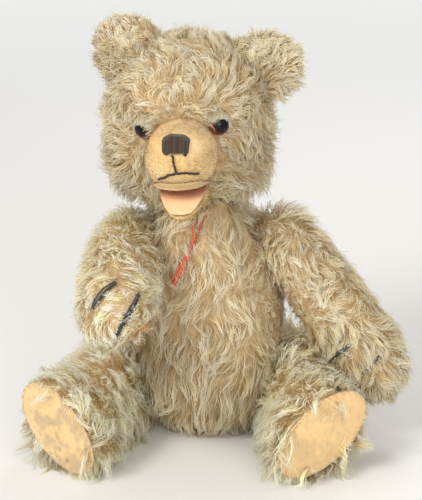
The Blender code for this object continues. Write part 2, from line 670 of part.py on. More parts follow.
def eye_mesh():
    """Glass eye: a low dome on a wire shank."""
    profile = [(0.0, EYE_DEPTH)]
    for step in range(1, 6):
        angle = math.radians(90.0 - 18.0 * step)
        profile.append((EYE_RADIUS * math.cos(angle), EYE_DEPTH * math.sin(angle)))
    profile += [(SHANK_RADIUS, 0.0), (SHANK_RADIUS, -SHANK_LENGTH), (0.0, -SHANK_LENGTH)]
    return turned_mesh(profile, 12)


def build_mouth(bear, frame, grown, muzzle_tree):
    """One felt lining folded at the back of the mouth, and the chin that carries its lower half."""
    chin = bear.add("chin", soft_form(Form(CHIN_RINGS, CHIN_ENDS, face_place, 8)), bear.clipped, frame)
    cut(chin, grown)
    lining = bear.add("mouth_lining", lining_mesh(muzzle_tree), bear.felt, frame)
    solidify = lining.modifiers.new("thickness", "SOLIDIFY")
    solidify.thickness = LINING_THICK
    solidify.offset = 0.0
    cut(lining, grown)


def lining_mesh(muzzle_tree):
    """A grid bent over the muzzle's lip, back along the roof of the mouth and out along the jaw."""
    across = 6
    rows = len(LIP_ROWS) + len(ROOF_ROWS) + len(JAW_ROWS)
    bm = bmesh.new()
    bmesh.ops.create_grid(bm, x_segments=across, y_segments=rows - 1, size=1.0)
    for vert in bm.verts:
        row = round((vert.co.y + 1.0) / 2.0 * (rows - 1))
        vert.co = lining_point(muzzle_tree, row, vert.co.x)
    mesh = bpy.data.meshes.new("lining")
    bm.to_mesh(mesh)
    bm.free()
    return mesh


def lining_point(tree, row, side):
    """Middle of the felt at a row of the lining; side runs from -1 to 1 across it."""
    if row < len(LIP_ROWS):
        height, half = LIP_ROWS[row]
        aim = HEAD_CENTRE + Vector((half * side, -150.0, height)) * MM
        hit, normal, _, _ = tree.ray_cast(aim, Vector((0.0, 1.0, 0.0)))
        return hit + normal * (LINING_THICK / 2.0 + LIP_LIFT)
    row -= len(LIP_ROWS)
    if row < len(ROOF_ROWS):
        part, height, half = ROOF_ROWS[row]
        lip = lining_point(tree, len(LIP_ROWS) - 1, side)
        back = HEAD_CENTRE.y + LINING_BACK * MM
        depth = lip.y + (back - lip.y) * part
        return Vector((HEAD_CENTRE.x + half * side * MM, depth, HEAD_CENTRE.z + height * MM))
    forward, height, half = JAW_ROWS[row - len(ROOF_ROWS)]
    return face_place(forward, half * side, height + CHIN_DISH * side ** 2) * MM


def build_nose(bear, frame, tree):
    forward = Vector((0.0, 1.0, 0.0))
    aim = HEAD_CENTRE + Vector((0.0, -100.0, NOSE_HEIGHT)) * MM
    hit, normal, _, _ = tree.ray_cast(aim, forward)
    matrix = plate_matrix(hit, normal, Vector((1.0, 0.0, 0.0)))
    width, height = NOSE_HALF
    rings = [(-0.6, 0.0, 0.0, width, height, 0.0), (1.4, 0.0, 0.0, width, height, 0.0)]
    nose = bear.add("nose_stitching", soft_form(Form(rings, NOSE_ENDS, upright_place, 8)), bear.silk,
                    frame, matrix)
    muzzle = Form(MUZZLE_RINGS, MUZZLE_ENDS, face_place, 10)
    cut(nose, bear.add_cutter("muzzle_outside", soft_form(muzzle, [], -GAP), frame))
    centre = HEAD_CENTRE / MM
    for name, guide in (("philtrum_stitch", PHILTRUM), ("mouth_stitch", MOUTH_LINE)):
        points = stitch_points(tree, [centre + Vector(point) for point in guide], forward,
                               STITCH_RADIUS + GAP, count=9)
        bear.add(name, tube_curve(points, STITCH_RADIUS), bear.silk, frame)


def main():
    clear_scene()
    bear = Bear()
    frames = {}
    for side, label in SIDE_NAMES.items():
        frames["shoulder", side] = bear.frame("shoulder_joint_" + label, limb_matrix(side, **SHOULDERS[side]))
        frames["hip", side] = bear.frame("hip_joint_" + label, limb_matrix(side, **HIPS[side]))
    frames["neck", LEFT] = bear.frame("neck_joint", neck_matrix())
    bpy.context.view_layer.update()
    holes = {}
    for (kind, side), frame in frames.items():
        name = "neck" if kind == "neck" else f"{kind}_{SIDE_NAMES[side]}"
        holes[kind, side] = joint_hardware(bear, name, kind, frame, side)
    torso_mesh = build_torso(bear, [(frame, side) for (_, side), frame in frames.items()],
                             list(holes.values()))
    build_thread(bear, torso_mesh)
    build_head(bear, frames["neck", LEFT], holes["neck", LEFT])
    for side in (LEFT, RIGHT):
        build_arm(bear, side, frames["shoulder", side], holes["shoulder", side])
        build_leg(bear, side, frames["hip", side], holes["hip", side])


main()
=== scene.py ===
"""Looks for the seated mohair bear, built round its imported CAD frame.

Every furry cover becomes a stuffed skin with a pelt of separate wavy strands, groomed along the
skin. Felt, stitches, glass eyes and the red thread are modelled on their own CAD pieces.
"""

import json
import math
from collections import namedtuple
from functools import partial

import bmesh
import bpy
import numpy as np
from mathutils import Matrix, Vector, kdtree, noise
from mathutils.bvhtree import BVHTree

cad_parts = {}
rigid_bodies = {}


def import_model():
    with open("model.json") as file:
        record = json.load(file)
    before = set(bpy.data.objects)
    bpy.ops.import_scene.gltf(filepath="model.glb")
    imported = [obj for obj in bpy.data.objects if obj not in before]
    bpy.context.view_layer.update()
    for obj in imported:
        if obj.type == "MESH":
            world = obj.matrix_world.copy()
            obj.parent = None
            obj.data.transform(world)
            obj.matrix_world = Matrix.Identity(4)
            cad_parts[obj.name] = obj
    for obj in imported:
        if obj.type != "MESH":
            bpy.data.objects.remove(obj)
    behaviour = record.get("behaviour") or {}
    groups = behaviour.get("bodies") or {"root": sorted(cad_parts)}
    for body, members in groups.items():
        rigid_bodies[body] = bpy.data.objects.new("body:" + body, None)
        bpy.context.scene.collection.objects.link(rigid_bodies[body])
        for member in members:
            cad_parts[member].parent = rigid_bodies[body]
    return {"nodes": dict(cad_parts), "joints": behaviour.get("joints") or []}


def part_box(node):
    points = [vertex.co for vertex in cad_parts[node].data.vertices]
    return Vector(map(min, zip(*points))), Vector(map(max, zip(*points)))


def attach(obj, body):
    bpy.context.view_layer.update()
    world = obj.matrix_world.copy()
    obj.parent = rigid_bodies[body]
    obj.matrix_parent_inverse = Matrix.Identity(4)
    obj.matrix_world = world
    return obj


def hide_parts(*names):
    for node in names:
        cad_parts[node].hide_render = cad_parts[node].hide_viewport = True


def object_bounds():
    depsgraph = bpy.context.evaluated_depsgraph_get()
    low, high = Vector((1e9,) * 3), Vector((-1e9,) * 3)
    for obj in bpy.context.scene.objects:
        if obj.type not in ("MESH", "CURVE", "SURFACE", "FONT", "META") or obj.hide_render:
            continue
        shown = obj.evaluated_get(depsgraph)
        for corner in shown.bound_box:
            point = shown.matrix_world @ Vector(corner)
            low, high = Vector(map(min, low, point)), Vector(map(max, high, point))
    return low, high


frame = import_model()
CAD_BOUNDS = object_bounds()
MM = 0.001
LEFT, RIGHT = "left", "right"
FLOOR_CLEAR = 0.4 * MM
PROUD_SHARE, PROUD_BY = 0.03, 9.5 * MM      # how far pile may stand outside the CAD's box
DOWN = np.array([0.0, 0.0, -1.0])
BACKWARDS = Vector((0.0, 1.0, 0.0))     # into the bear from the front
BRIGHTEST = 0.97            # no painted colour is lighter than this
INNER_GAP = 2.4 * MM        # a cover's inner faces are nearer to its stuffing than this
JOINT_GAP = 0.6 * MM        # faces this near to a joint's plane close a cover at the joint

# The view of the photograph: degrees round from the front and up, and millimetres
VIEW_AZIMUTH, VIEW_ELEVATION = 5.0, 18.0
VIEW_DISTANCE = 1400 * MM
VIEW_AIM = Vector((0.0, -30.0, 118.0)) * MM
VIEW_OFFSET = (3.8 * MM, 7.6 * MM)
LENS, SENSOR_WIDTH = 188.1, 36.0

# The floor's size and where it starts and ends fading into the surround, in metres
FLOOR_RADIUS = 6.0
FLOOR_FADE = (0.35, 1.5)
SURROUND = (0.86, 0.86, 0.85, 1.0)
PAPER = (0.80, 0.80, 0.79, 1.0)
WORLD_COLOUR, WORLD_LIGHT = (1.0, 0.99, 0.97, 1.0), 0.50

# Lamps: place and size in metres, watts and colour
LAMPS = {
    "key": ((-0.75, -1.05, 1.05), (0.60, 0.60), 16.0, (1.0, 0.97, 0.93)),
    "fill": ((0.55, -1.35, 0.55), (0.9, 0.9), 9.5, (1.0, 0.99, 0.97)),
    "rim": ((0.35, 0.95, 1.0), (0.7, 0.4), 6.0, (1.0, 0.98, 0.95)),
}
LAMP_AIM = Vector((0.0, -0.03, 0.12))


# ---------------------------------------------------------------- camera, floor and light

def view_axes():
    """Right, up and towards-the-camera directions of the main view."""
    az, el = math.radians(VIEW_AZIMUTH), math.radians(VIEW_ELEVATION)
    right = Vector((math.cos(az), math.sin(az), 0.0))
    back = Vector((math.sin(az) * math.cos(el), -math.cos(az) * math.cos(el), math.sin(el)))
    return right, back.cross(right), back


def scene_object(name, data):
    """A new object in the scene that shows data."""
    obj = bpy.data.objects.new(name, data)
    bpy.context.scene.collection.objects.link(obj)
    return obj


def add_camera():
    right, up, back = view_axes()
    data = bpy.data.cameras.new("camera")
    data.sensor_fit = "HORIZONTAL"
    data.sensor_width = SENSOR_WIDTH
    data.lens = LENS
    camera = scene_object("camera", data)
    rotation = Matrix((right, up, back)).transposed().to_4x4()
    place = VIEW_AIM + right * VIEW_OFFSET[0] + up * VIEW_OFFSET[1] + back * VIEW_DISTANCE
    camera.matrix_world = Matrix.Translation(place) @ rotation
    bpy.context.scene.camera = camera


def add_lamp(name, place, size, watts, colour):
    data = bpy.data.lights.new(name, "AREA")
    data.shape = "RECTANGLE"
    data.size, data.size_y = size
    data.energy = watts
    data.color = colour
    turn = (Vector(place) - LAMP_AIM).to_track_quat("Z", "Y").to_matrix().to_4x4()
    scene_object(name, data).matrix_world = Matrix.Translation(place) @ turn


def add_stage():
    """A wide pale floor that fades into a pale surround, and soft studio light."""
    bm = bmesh.new()
    bmesh.ops.create_circle(bm, cap_ends=True, segments=96, radius=FLOOR_RADIUS)
    mesh_object("stage", new_mesh("stage", bm), stage_material())
    bm.free()
    bpy.context.scene.world = pale_world()
    bpy.context.scene.view_settings.view_transform = "Standard"
    for name, lamp in LAMPS.items():
        add_lamp(name, *lamp)


# ---------------------------------------------------------------- materials

COLOUR_LAYER = "piece_colour"


def new_material(name):
    """A new material, its nodes and its shader."""
    material = bpy.data.materials.new(name)
    material.use_nodes = True
    nodes = material.node_tree.nodes
    return material, nodes, nodes["Principled BSDF"]


def put(target, inputs):
    """Fills a node's inputs: an output is linked to its input, and anything else is its value."""
    for key, value in inputs.items():
        if isinstance(value, bpy.types.NodeSocket):
            target.id_data.links.new(value, target.inputs[key])
        else:
            target.inputs[key].default_value = value


def node(nodes, kind, inputs=None, **settings):
    """A new node with its settings and its inputs."""
    made = nodes.new(kind)
    for key, value in settings.items():
        setattr(made, key, value)
    put(made, inputs or {})
    return made


def show_mix(nodes, share, first, second, output="Material Output"):
    """The output shows the first shader, with a share of the second."""
    mix = node(nodes, "ShaderNodeMixShader", {"Fac": share, 1: first.outputs[0], 2: second.outputs[0]})
    put(nodes[output], {"Surface": mix.outputs[0]})


def piece_colour(nodes):
    """The colour that a piece's points carry."""
    return node(nodes, "ShaderNodeAttribute", attribute_name=COLOUR_LAYER).outputs["Color"]


def object_coords(nodes):
    return node(nodes, "ShaderNodeTexCoord").outputs["Object"]


def noise_texture(nodes, scale, detail):
    inputs = {"Vector": object_coords(nodes), "Scale": scale, "Detail": detail}
    return node(nodes, "ShaderNodeTexNoise", inputs).outputs["Fac"]


def fade_between(nodes, value, marks, ends=(0.0, 1.0)):
    """Goes smoothly from one end to the other as value goes from one mark to the other."""
    inputs = dict(zip(("From Min", "From Max", "To Min", "To Max"), (*marks, *ends)), Value=value)
    return node(nodes, "ShaderNodeMapRange", inputs, interpolation_type="SMOOTHSTEP").outputs["Result"]


def maths(nodes, operation, *values):
    return node(nodes, "ShaderNodeMath", dict(enumerate(values)), operation=operation).outputs[0]


def bumped(nodes, strength, depth, **inputs):
    """The normal of a surface that a height raises."""
    inputs.update(Strength=strength, Distance=depth)
    return node(nodes, "ShaderNodeBump", inputs).outputs["Normal"]


def fibre_bump(nodes, scale, detail, strength, depth):
    """The normal of a surface that is roughened by fine noise."""
    return bumped(nodes, strength, depth, Height=noise_texture(nodes, scale, detail))


def rib_bump(nodes, normal):
    """The muzzle's ribs raised on a surface where rib_wave paints them."""
    coords = object_coords(nodes)
    across = node(nodes, "ShaderNodeVectorMath", {0: coords, 1: RIB_ACROSS * 2 * math.pi / RIB_PITCH},
                  operation="DOT_PRODUCT").outputs["Value"]
    height = node(nodes, "ShaderNodeSeparateXYZ", {0: coords}).outputs["Z"]
    ribs = maths(nodes, "MULTIPLY", maths(nodes, "COSINE", across),
                 fade_between(nodes, height, rib_heights(), (1.0, 0.0)))
    return bumped(nodes, 0.8, RIB_DEPTH, Height=ribs, Normal=normal)


def stage_material():
    """Pale paper, which the camera sees as the pale surround once it is well away from the bear."""
    material, nodes, shader = new_material("stage_paper")
    put(shader, {"Base Color": PAPER, "Roughness": 0.9})
    reach = node(nodes, "ShaderNodeVectorMath", {0: object_coords(nodes)}, operation="LENGTH")
    camera_ray = node(nodes, "ShaderNodeLightPath").outputs["Is Camera Ray"]
    seen = maths(nodes, "MULTIPLY", fade_between(nodes, reach.outputs["Value"], FLOOR_FADE), camera_ray)
    show_mix(nodes, seen, shader, node(nodes, "ShaderNodeEmission", {"Color": SURROUND}))
    return material


def pale_world():
    """Even light all round, behind which the camera, glass and gloss see a pale surround."""
    world = bpy.data.worlds.new("world")
    world.use_nodes = True
    nodes = world.node_tree.nodes
    put(nodes["Background"], {"Color": WORLD_COLOUR, "Strength": WORLD_LIGHT})
    rays = node(nodes, "ShaderNodeLightPath").outputs
    direct = maths(nodes, "MAXIMUM", rays["Is Camera Ray"], rays["Is Glossy Ray"])
    direct = maths(nodes, "MAXIMUM", direct, rays["Is Transmission Ray"])
    seen = node(nodes, "ShaderNodeBackground", {"Color": SURROUND})
    show_mix(nodes, direct, nodes["Background"], seen, "World Output")
    return world


def fur_material(name, translucent=0.42):
    """Strands with their own colours, which let some light through."""
    material, nodes, shader = new_material(name)
    colour = piece_colour(nodes)
    put(shader, {"Base Color": colour, "Roughness": 0.45, "Specular IOR Level": 0.5})
    show_mix(nodes, translucent, shader, node(nodes, "ShaderNodeBsdfTranslucent", {"Color": colour}))
    return material


def painted_material(name, rough, sheen, gloss, fibre_scale=None, fibre_depth=None, ribbed=False):
    """A surface that reads its painted colour, with fine fibres and, on the muzzle, ribs raised on it."""
    material, nodes, shader = new_material(name)
    put(shader, {"Base Color": piece_colour(nodes), "Roughness": rough, "Sheen Weight": sheen,
                 "Specular IOR Level": gloss})
    if fibre_scale:
        normal = fibre_bump(nodes, fibre_scale, 3.0, 0.9, fibre_depth)
        put(shader, {"Normal": rib_bump(nodes, normal) if ribbed else normal})
    return material


def backing_material(name, dark, light):
    """Woven backing under the pile, matted with short fibres, in colours darkened as painted shadow under the
    pile.
    """
    material, nodes, shader = new_material(name)
    ramp = node(nodes, "ShaderNodeValToRGB", {"Fac": noise_texture(nodes, 90.0, 4.0)})
    for element, position, colour in zip(ramp.color_ramp.elements, (0.35, 0.70), (dark, light)):
        element.position, element.color = position, (*colour, 1.0)
    put(shader, {"Base Color": ramp.outputs["Color"], "Roughness": 0.95,
                 "Normal": fibre_bump(nodes, 1400.0, 2.0, 0.8, 0.4 * MM)})
    return material


# ---------------------------------------------------------------- meshes

def new_mesh(name, bm):
    mesh = bpy.data.meshes.new(name)
    bm.to_mesh(mesh)
    return mesh


def mesh_object(name, mesh, material):
    """A new object that shows a mesh in one material."""
    mesh.materials.append(material)
    return scene_object(name, mesh)


def shade_smooth(mesh):
    mesh.polygons.foreach_set("use_smooth", np.ones(len(mesh.polygons), bool))


def cad_bmesh(name):
    """The CAD node's mesh, welded."""
    bm = bmesh.new()
    bm.from_mesh(frame["nodes"][name].data)
    bmesh.ops.remove_doubles(bm, verts=bm.verts, dist=0.01 * MM)
    bmesh.ops.triangulate(bm, faces=bm.faces)
    bm.normal_update()
    return bm


def joint_planes(body):
    """(point, axis) of every joint that a body has."""
    return [(Vector(j.get("pos_m", (0, 0, 0))), Vector(j["axis"]).normalized())
            for j in frame["joints"] if body in (j["parent"], j["child"])]


def outer_bmesh(cover, stuffing, body):
    """The outside of a hollow cover: its inner faces go, and its holes are closed."""
    bm = cad_bmesh(cover)
    if stuffing:
        inside, planes = cad_tree(stuffing), joint_planes(body)
        drop = [f for f in bm.faces if is_inner(f.calc_center_median(), inside, planes)]
        bmesh.ops.delete(bm, geom=drop, context="FACES")
        keep_largest(bm)
        bmesh.ops.holes_fill(bm, edges=bm.edges)
        bmesh.ops.triangulate(bm, faces=bm.faces)
    bmesh.ops.recalc_face_normals(bm, faces=bm.faces)
    if bm.calc_volume(signed=True) < 0.0:
        bmesh.ops.reverse_faces(bm, faces=bm.faces)
    bm.normal_update()
    return bm


def is_inner(point, inside, planes):
    """True on a cover's inner faces, but not on those that close it at a joint."""
    gap = inside.find_nearest(point)[3] or 1.0
    return gap < INNER_GAP and not any(abs((point - at).dot(axis)) < JOINT_GAP for at, axis in planes)


def keep_largest(bm):
    """Deletes every island of faces but the one with the most faces."""
    seen, islands = set(), []
    for start in bm.faces:
        if start in seen:
            continue
        island, waiting = [start], [start]
        seen.add(start)
        while waiting:
            for edge in waiting.pop().edges:
                fresh = [face for face in edge.link_faces if face not in seen]
                seen.update(fresh)
                island += fresh
                waiting += fresh
        islands.append(island)
    islands.sort(key=len)
    loose = [f for island in islands[:-1] for f in island]
    bmesh.ops.delete(bm, geom=loose, context="FACES")


# ---------------------------------------------------------------- fur

# A region of pile. length is in millimetres, lift the angle off the skin in degrees at root and tip,
# swirl how far the combing strays, curl how far a lock turns along its length, both in degrees, sag how
# much its weight bends it, lock how tightly strands gather and wave how far they wave, in millimetres.
# brown is how brown its darker patches are, then the share of locks that get a painted white highlight,
# and tone its lightness, which is set region by region as painted light.
Pelt = namedtuple("Pelt", "strands segments length lift swirl curl sag lock wave brown white tone")
# Painted light: tone, and the share of locks with a painted highlight, are set region by region, higher on
# the legs and the right arm, where the light falls most
LEG_PELT = Pelt(13000, 4, 15.5, (52, 14), 75, 170, 0.12, 0.86, 1.7, 0.15, 0.60, 1.20)
PELTS = {
    "torso": Pelt(24000, 4, 16.0, (42, 3), 70, 110, 0.16, 0.88, 1.4, 0.50, 0.45, 0.93),
    "head": Pelt(20500, 5, 12.5, (42, 4), 85, 210, 0.08, 0.76, 1.3, 0.40, 0.30, 0.93),
    "ear_left": Pelt(4200, 5, 11.5, (42, 8), 70, 190, 0.16, 0.70, 1.2, 0.40, 0.25, 0.96),
    "ear_right": Pelt(4200, 5, 9.5, (38, 4), 70, 190, 0.10, 0.70, 1.2, 0.40, 0.25, 0.96),
    "arm_left": Pelt(12500, 4, 14.0, (42, 4), 75, 170, 0.12, 0.76, 1.2, 0.22, 0.30, 1.0),
    "arm_right": Pelt(12500, 4, 13.0, (40, 4), 95, 190, 0.12, 0.62, 1.0, 0.10, 0.50, 1.22),
    "leg_left": LEG_PELT,
    "leg_right": LEG_PELT,
}
GUIDE_SHARE = 0.085         # guides, and so locks, per strand
GUIDE_STEPS = 8
KEEPS_ON = 0.35             # how much of its heading a guide keeps from one step to the next
FULLEST = math.radians(30)  # the most that fullness adds to a pelt's lift
LOOSE_SHARE = 0.22          # strands outside the locks
STRAND_WIDTH = 0.43 * MM
SKIN_REACH = 0.9 * MM       # strands are lifted this far clear of what they lie on


class Skin:
    """A furry skin: where strands may grow, which way is out, and what strands lie on."""

    def __init__(self, bm, bald, rests_on=()):
        bm.verts.ensure_lookup_table()
        bm.faces.ensure_lookup_table()
        self.co = np.array([v.co for v in bm.verts])
        self.vert_normal = np.array([v.normal for v in bm.verts])
        self.faces = np.array([[v.index for v in f.verts] for f in bm.faces])
        corners = self.co[self.faces]
        cross = np.cross(corners[:, 1] - corners[:, 0], corners[:, 2] - corners[:, 0])
        area = np.linalg.norm(cross, axis=1) / 2.0
        self.share = area / area.sum()
        self.bald = bald
        self.tree = joined_tree([(self.co, self.faces)] + [node_triangles(name) for name in rests_on])

    def scatter(self, rng, count):
        """count points on the furry part of the skin with their smooth normals."""
        found, normals = [], []
        while len(found) < count:
            face = rng.choice(len(self.faces), count, p=self.share)
            a, b = np.sqrt(rng.random(count)), rng.random(count)
            bary = np.stack([1 - a, a * (1 - b), a * b], axis=1)[:, :, None]
            corner = self.faces[face]
            points = (self.co[corner] * bary).sum(axis=1)
            out = unit((self.vert_normal[corner] * bary).sum(axis=1))
            furry = [i for i in range(count) if not self.bald(Vector(points[i]))]
            found += points[furry].tolist()
            normals += out[furry].tolist()
        return np.array(found[:count]), np.array(normals[:count])


def unit(vectors):
    return vectors / np.maximum(np.linalg.norm(vectors, axis=-1, keepdims=True), 1e-9)


def tangent(vectors, normals):
    return unit(vectors - normals * (vectors * normals).sum(axis=1, keepdims=True))


def noise_at(points, scale, seed):
    """Smooth noise from -1 to 1 at each point; scale is the size of its patches in metres."""
    shift = Vector((seed * 17.3, seed * 5.1, seed * 9.7))
    return np.array([noise.noise(Vector(p) / scale + shift) for p in points])


def turned_to(angles, first, second):
    """The first direction turned by an angle towards a second one that is square to it."""
    return first * np.cos(angles) + second * np.sin(angles)


def turned_about(vectors, axes, angles):
    """Each vector turned about its own axis, both unit length and at right angles."""
    return turned_to(angles[:, None], vectors, np.cross(axes, vectors))


def groom(skin, roots, normals, comb, pelt, lengths, lively, puff, seed):
    """Guide hairs: each one leaves the skin at a slope, then curls along the combing as it falls."""
    lift = np.radians(np.linspace(*pelt.lift, GUIDE_STEPS))
    stray = np.radians(pelt.swirl) * lively * (
        1.3 * noise_at(roots, 20 * MM, seed) + 0.8 * noise_at(roots, 8 * MM, seed + 1))
    curl = np.radians(pelt.curl) * lively * (
        1.2 * noise_at(roots, 13 * MM, seed + 2) + 0.4 * noise_at(roots, 5 * MM, seed + 3))
    place, out, heading = roots.copy(), normals.copy(), None
    paths = [roots]
    step = lengths[:, None] / GUIDE_STEPS
    for i in range(GUIDE_STEPS):
        along = turned_about(tangent(comb(place, out), out), out, stray + curl * i / GUIDE_STEPS)
        slope = (lift[i] + puff)[:, None]
        wish = out * np.sin(slope) + along * np.cos(slope)
        heading = wish if heading is None else unit(heading * KEEPS_ON + wish * (1 - KEEPS_ON))
        heading = unit(heading + DOWN * pelt.sag * i / GUIDE_STEPS)
        place = place + heading * step
        for k in range(len(roots)):
            near, normal, _, _ = skin.tree.find_nearest(Vector(place[k]))
            height = (Vector(place[k]) - near).dot(normal)
            if height < SKIN_REACH:
                place[k] += np.array(normal) * (SKIN_REACH - height)
            out[k] = normal
        paths.append(place.copy())
    return np.stack(paths, axis=1)


def smoothstep(x):
    x = np.clip(x, 0.0, 1.0)
    return x * x * (3 - 2 * x)


def nearest_guides(roots, guide_roots, number=3):
    """The guides nearest to each root, and how much each one counts."""
    tree = kdtree.KDTree(len(guide_roots))
    for i, root in enumerate(guide_roots):
        tree.insert(root, i)
    tree.balance()
    found = np.array([[(index, distance) for _, index, distance in tree.find_n(root, number)]
                      for root in roots])
    weight = 1.0 / (found[:, :, 1] + 0.4 * MM)
    return found[:, :, 0].astype(int), weight / weight.sum(axis=1, keepdims=True)


def strand_paths(rng, roots, normals, guide_roots, paths, pelt):
    """Strands that follow the guides round them, gather into locks and wave with their lock."""
    count = len(roots)
    near, weight = nearest_guides(roots, guide_roots)
    share = np.linspace(0.0, 1.0, pelt.segments + 1)
    at = share * GUIDE_STEPS
    low = np.minimum(at.astype(int), GUIDE_STEPS - 1)
    part = (at - low)[None, :, None]
    drawn = paths[:, low] * (1 - part) + paths[:, low + 1] * part
    offsets = drawn - drawn[:, :1]
    scale = rng.uniform(0.70, 1.10, count)[:, None, None]
    points = roots[:, None] + (offsets[near] * weight[:, :, None, None]).sum(axis=1) * scale
    lead = near[:, 0]
    target = guide_roots[lead][:, None] + offsets[lead] * scale
    loose = rng.random(count) < LOOSE_SHARE
    hold = pelt.lock * rng.uniform(0.75, 1.0, count) * np.where(loose, 0.1, 1.0)
    points += (target - points) * (hold[:, None] * smoothstep(share * 1.25)[None])[:, :, None]
    heading = unit(points[:, -1] - points[:, 0])
    side = unit(np.cross(heading, unit(rng.normal(size=heading.shape))))
    points += lock_wave(rng, heading, lead, len(guide_roots), share, pelt.wave * MM)
    points += frizz(rng, loose, share, side, np.cross(heading, side), normals)
    return points, lead


def lock_wave(rng, heading, lead, locks, share, reach):
    """How far each strand waves sideways, mostly together with its lock."""
    lead_phase = rng.random(locks) * 2 * math.pi
    lead_side = unit(rng.normal(size=(locks, 3)))
    side = unit(np.cross(heading, lead_side[lead]))
    phase = lead_phase[lead][:, None] + rng.normal(0.0, 0.35, len(lead))[:, None]
    turns = rng.uniform(1.1, 1.9, locks)[lead][:, None]
    angle = 2 * math.pi * turns * share[None] + phase
    grow = reach * share[None] ** 0.7
    return (((np.sin(angle) - np.sin(phase)) * grow)[:, :, None] * side[:, None]
            + ((np.cos(angle) - np.cos(phase)) * grow * 0.6)[:, :, None] * np.cross(heading, side)[:, None])


def frizz(rng, loose, share, side, other, normals):
    """How far each strand bows by itself and, where it is loose, flies off the coat."""
    own = rng.normal(size=(len(loose), 2, 1)) * np.where(loose, 0.9, 0.35)[:, None, None] * MM
    bow = np.sin(math.pi * share)[None] * 1.0 + share[None] * 0.8
    fly = np.where(loose, rng.uniform(0.0, 4.2, len(loose)), 0.0)[:, None] * MM * share[None] ** 1.6
    return ((own[:, 0] * bow)[:, :, None] * side[:, None] + (own[:, 1] * bow)[:, :, None] * other[:, None]
            + fly[:, :, None] * normals[:, None])


def ribbons(name, paths, normals, widths, rolls, colours, body, material, softness=0.78):
    """One mesh of flat tapering strands, with a colour on every point and a map cell on every strand."""
    count, rows = paths.shape[:2]
    along = unit(np.gradient(paths, axis=1))
    flat = unit(np.cross(along, normals[:, None]))
    side = turned_to(rolls[:, None, None], flat, np.cross(along, flat))
    share = np.linspace(0.0, 1.0, rows)[:-1]
    taper = (0.80 + 0.8 * share - 1.25 * share ** 2)[None, :, None]
    half = widths[:, None, None] * 0.5 * taper
    left, right = paths[:, :-1] - side[:, :-1] * half, paths[:, :-1] + side[:, :-1] * half
    points = np.concatenate([np.stack([left, right], axis=2).reshape(count, -1, 3), paths[:, -1:]], axis=1)
    mesh, corner_order = strand_mesh(name, points, rows)
    paint_strands(mesh, rows, colours)
    map_cells(mesh, count, rows, corner_order)
    shade_soft(mesh, normals, side, along, softness)
    return show(name, mesh, material, body)


def strand_mesh(name, points, rows):
    """A mesh of strands: each has two points to a row and one at its tip, four-sided faces and a last
    triangle. The order of one strand's face corners is returned with it."""
    count, per = points.shape[:2]
    quads = [[2 * i, 2 * i + 1, 2 * i + 3, 2 * i + 2] for i in range(rows - 2)]
    corner_order = np.array(sum(quads, []) + [per - 3, per - 2, per - 1])
    strand = np.arange(count)[:, None]
    corners = (strand * per + corner_order[None]).ravel()
    starts = (strand * len(corner_order) + 4 * np.arange(rows - 1)[None]).ravel()
    totals = np.tile([4] * len(quads) + [3], count)
    mesh = bpy.data.meshes.new(name)
    for layer, attribute, values in ((mesh.vertices, "co", points.reshape(-1, 3).astype(np.float32)),
                                     (mesh.loops, "vertex_index", corners.astype(np.int32)),
                                     (mesh.polygons, "loop_start", starts.astype(np.int32))):
        layer.add(len(values))
        layer.foreach_set(attribute, values.ravel())
    mesh.polygons.foreach_set("loop_total", totals.astype(np.int32))
    mesh.update(calc_edges=True)
    return mesh, corner_order


def show(name, mesh, material, body):
    """Links a mesh as a piece that rides on a body."""
    obj = mesh_object(name, mesh, material)
    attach(obj, body)
    return obj


def paint_strands(mesh, rows, colours):
    """colours holds each strand's root, middle and tip colour."""
    share = np.repeat(np.linspace(0.0, 1.0, rows)[:-1], 2).tolist() + [1.0]
    t = np.array(share)[None, :, None]
    root, middle, tip = (c[:, None] for c in colours)
    lower, upper = np.clip(t * 2.2, 0, 1), np.clip(t * 2.2 - 1.2, 0, 1)
    paint(mesh, (root * (1 - lower) + middle * (lower - upper) + tip * upper).reshape(-1, 3))


def paint(mesh, colours):
    """A colour for every point of a mesh, which its material reads."""
    rgba = np.ones((len(colours), 4), np.float32)
    rgba[:, :3] = colours
    layer = mesh.color_attributes.new(COLOUR_LAYER, "FLOAT_COLOR", "POINT")
    layer.data.foreach_set("color", rgba.ravel())


def map_cells(mesh, count, rows, corner_order):
    """Each strand has its own cell of a square grid on the map named OFBake."""
    columns = math.ceil(math.sqrt(count))
    cell = np.arange(count)
    origin = np.stack([cell % columns, cell // columns], axis=1)[:, None]
    local = [((i % 2) * 0.8 + 0.1, (i // 2) / (rows - 1) * 0.8 + 0.1) for i in range(2 * (rows - 1))]
    local = np.array(local + [(0.5, 0.9)])[corner_order]
    uv = (origin + local[None]) / columns
    layer = mesh.uv_layers.new(name="OFBake")
    layer.data.foreach_set("uv", uv.astype(np.float32).ravel())


def shade_soft(mesh, normals, side, along, softness):
    """Strands shade mostly as the pelt they lie in, so the coat reads as soft, with some of their own."""
    own = np.cross(side, along)
    own *= np.sign((own * normals[:, None]).sum(axis=2, keepdims=True) + 1e-9)
    soft = unit(normals[:, None] * softness + own * (1.0 - softness))
    per_vert = np.concatenate([np.repeat(soft[:, :-1], 2, axis=1), soft[:, -1:]], axis=1)
    shade_smooth(mesh)
    mesh.normals_split_custom_set_from_vertices(per_vert.reshape(-1, 3).astype(np.float32))


# ---------------------------------------------------------------- places on the CAD

def box_corners(name):
    return [np.array(corner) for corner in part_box(name)]


def middle(name):
    low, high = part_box(name)
    return np.array((low + high) / 2.0)


def in_box(name, share):
    """The point at a share of the way across a node's box, along X, Y and Z."""
    low, high = box_corners(name)
    return low + (high - low) * np.array(share)


def node_triangles(name):
    """A CAD node's points and triangles."""
    data = frame["nodes"][name].data
    data.calc_loop_triangles()
    return np.array([v.co for v in data.vertices]), np.array([t.vertices for t in data.loop_triangles])


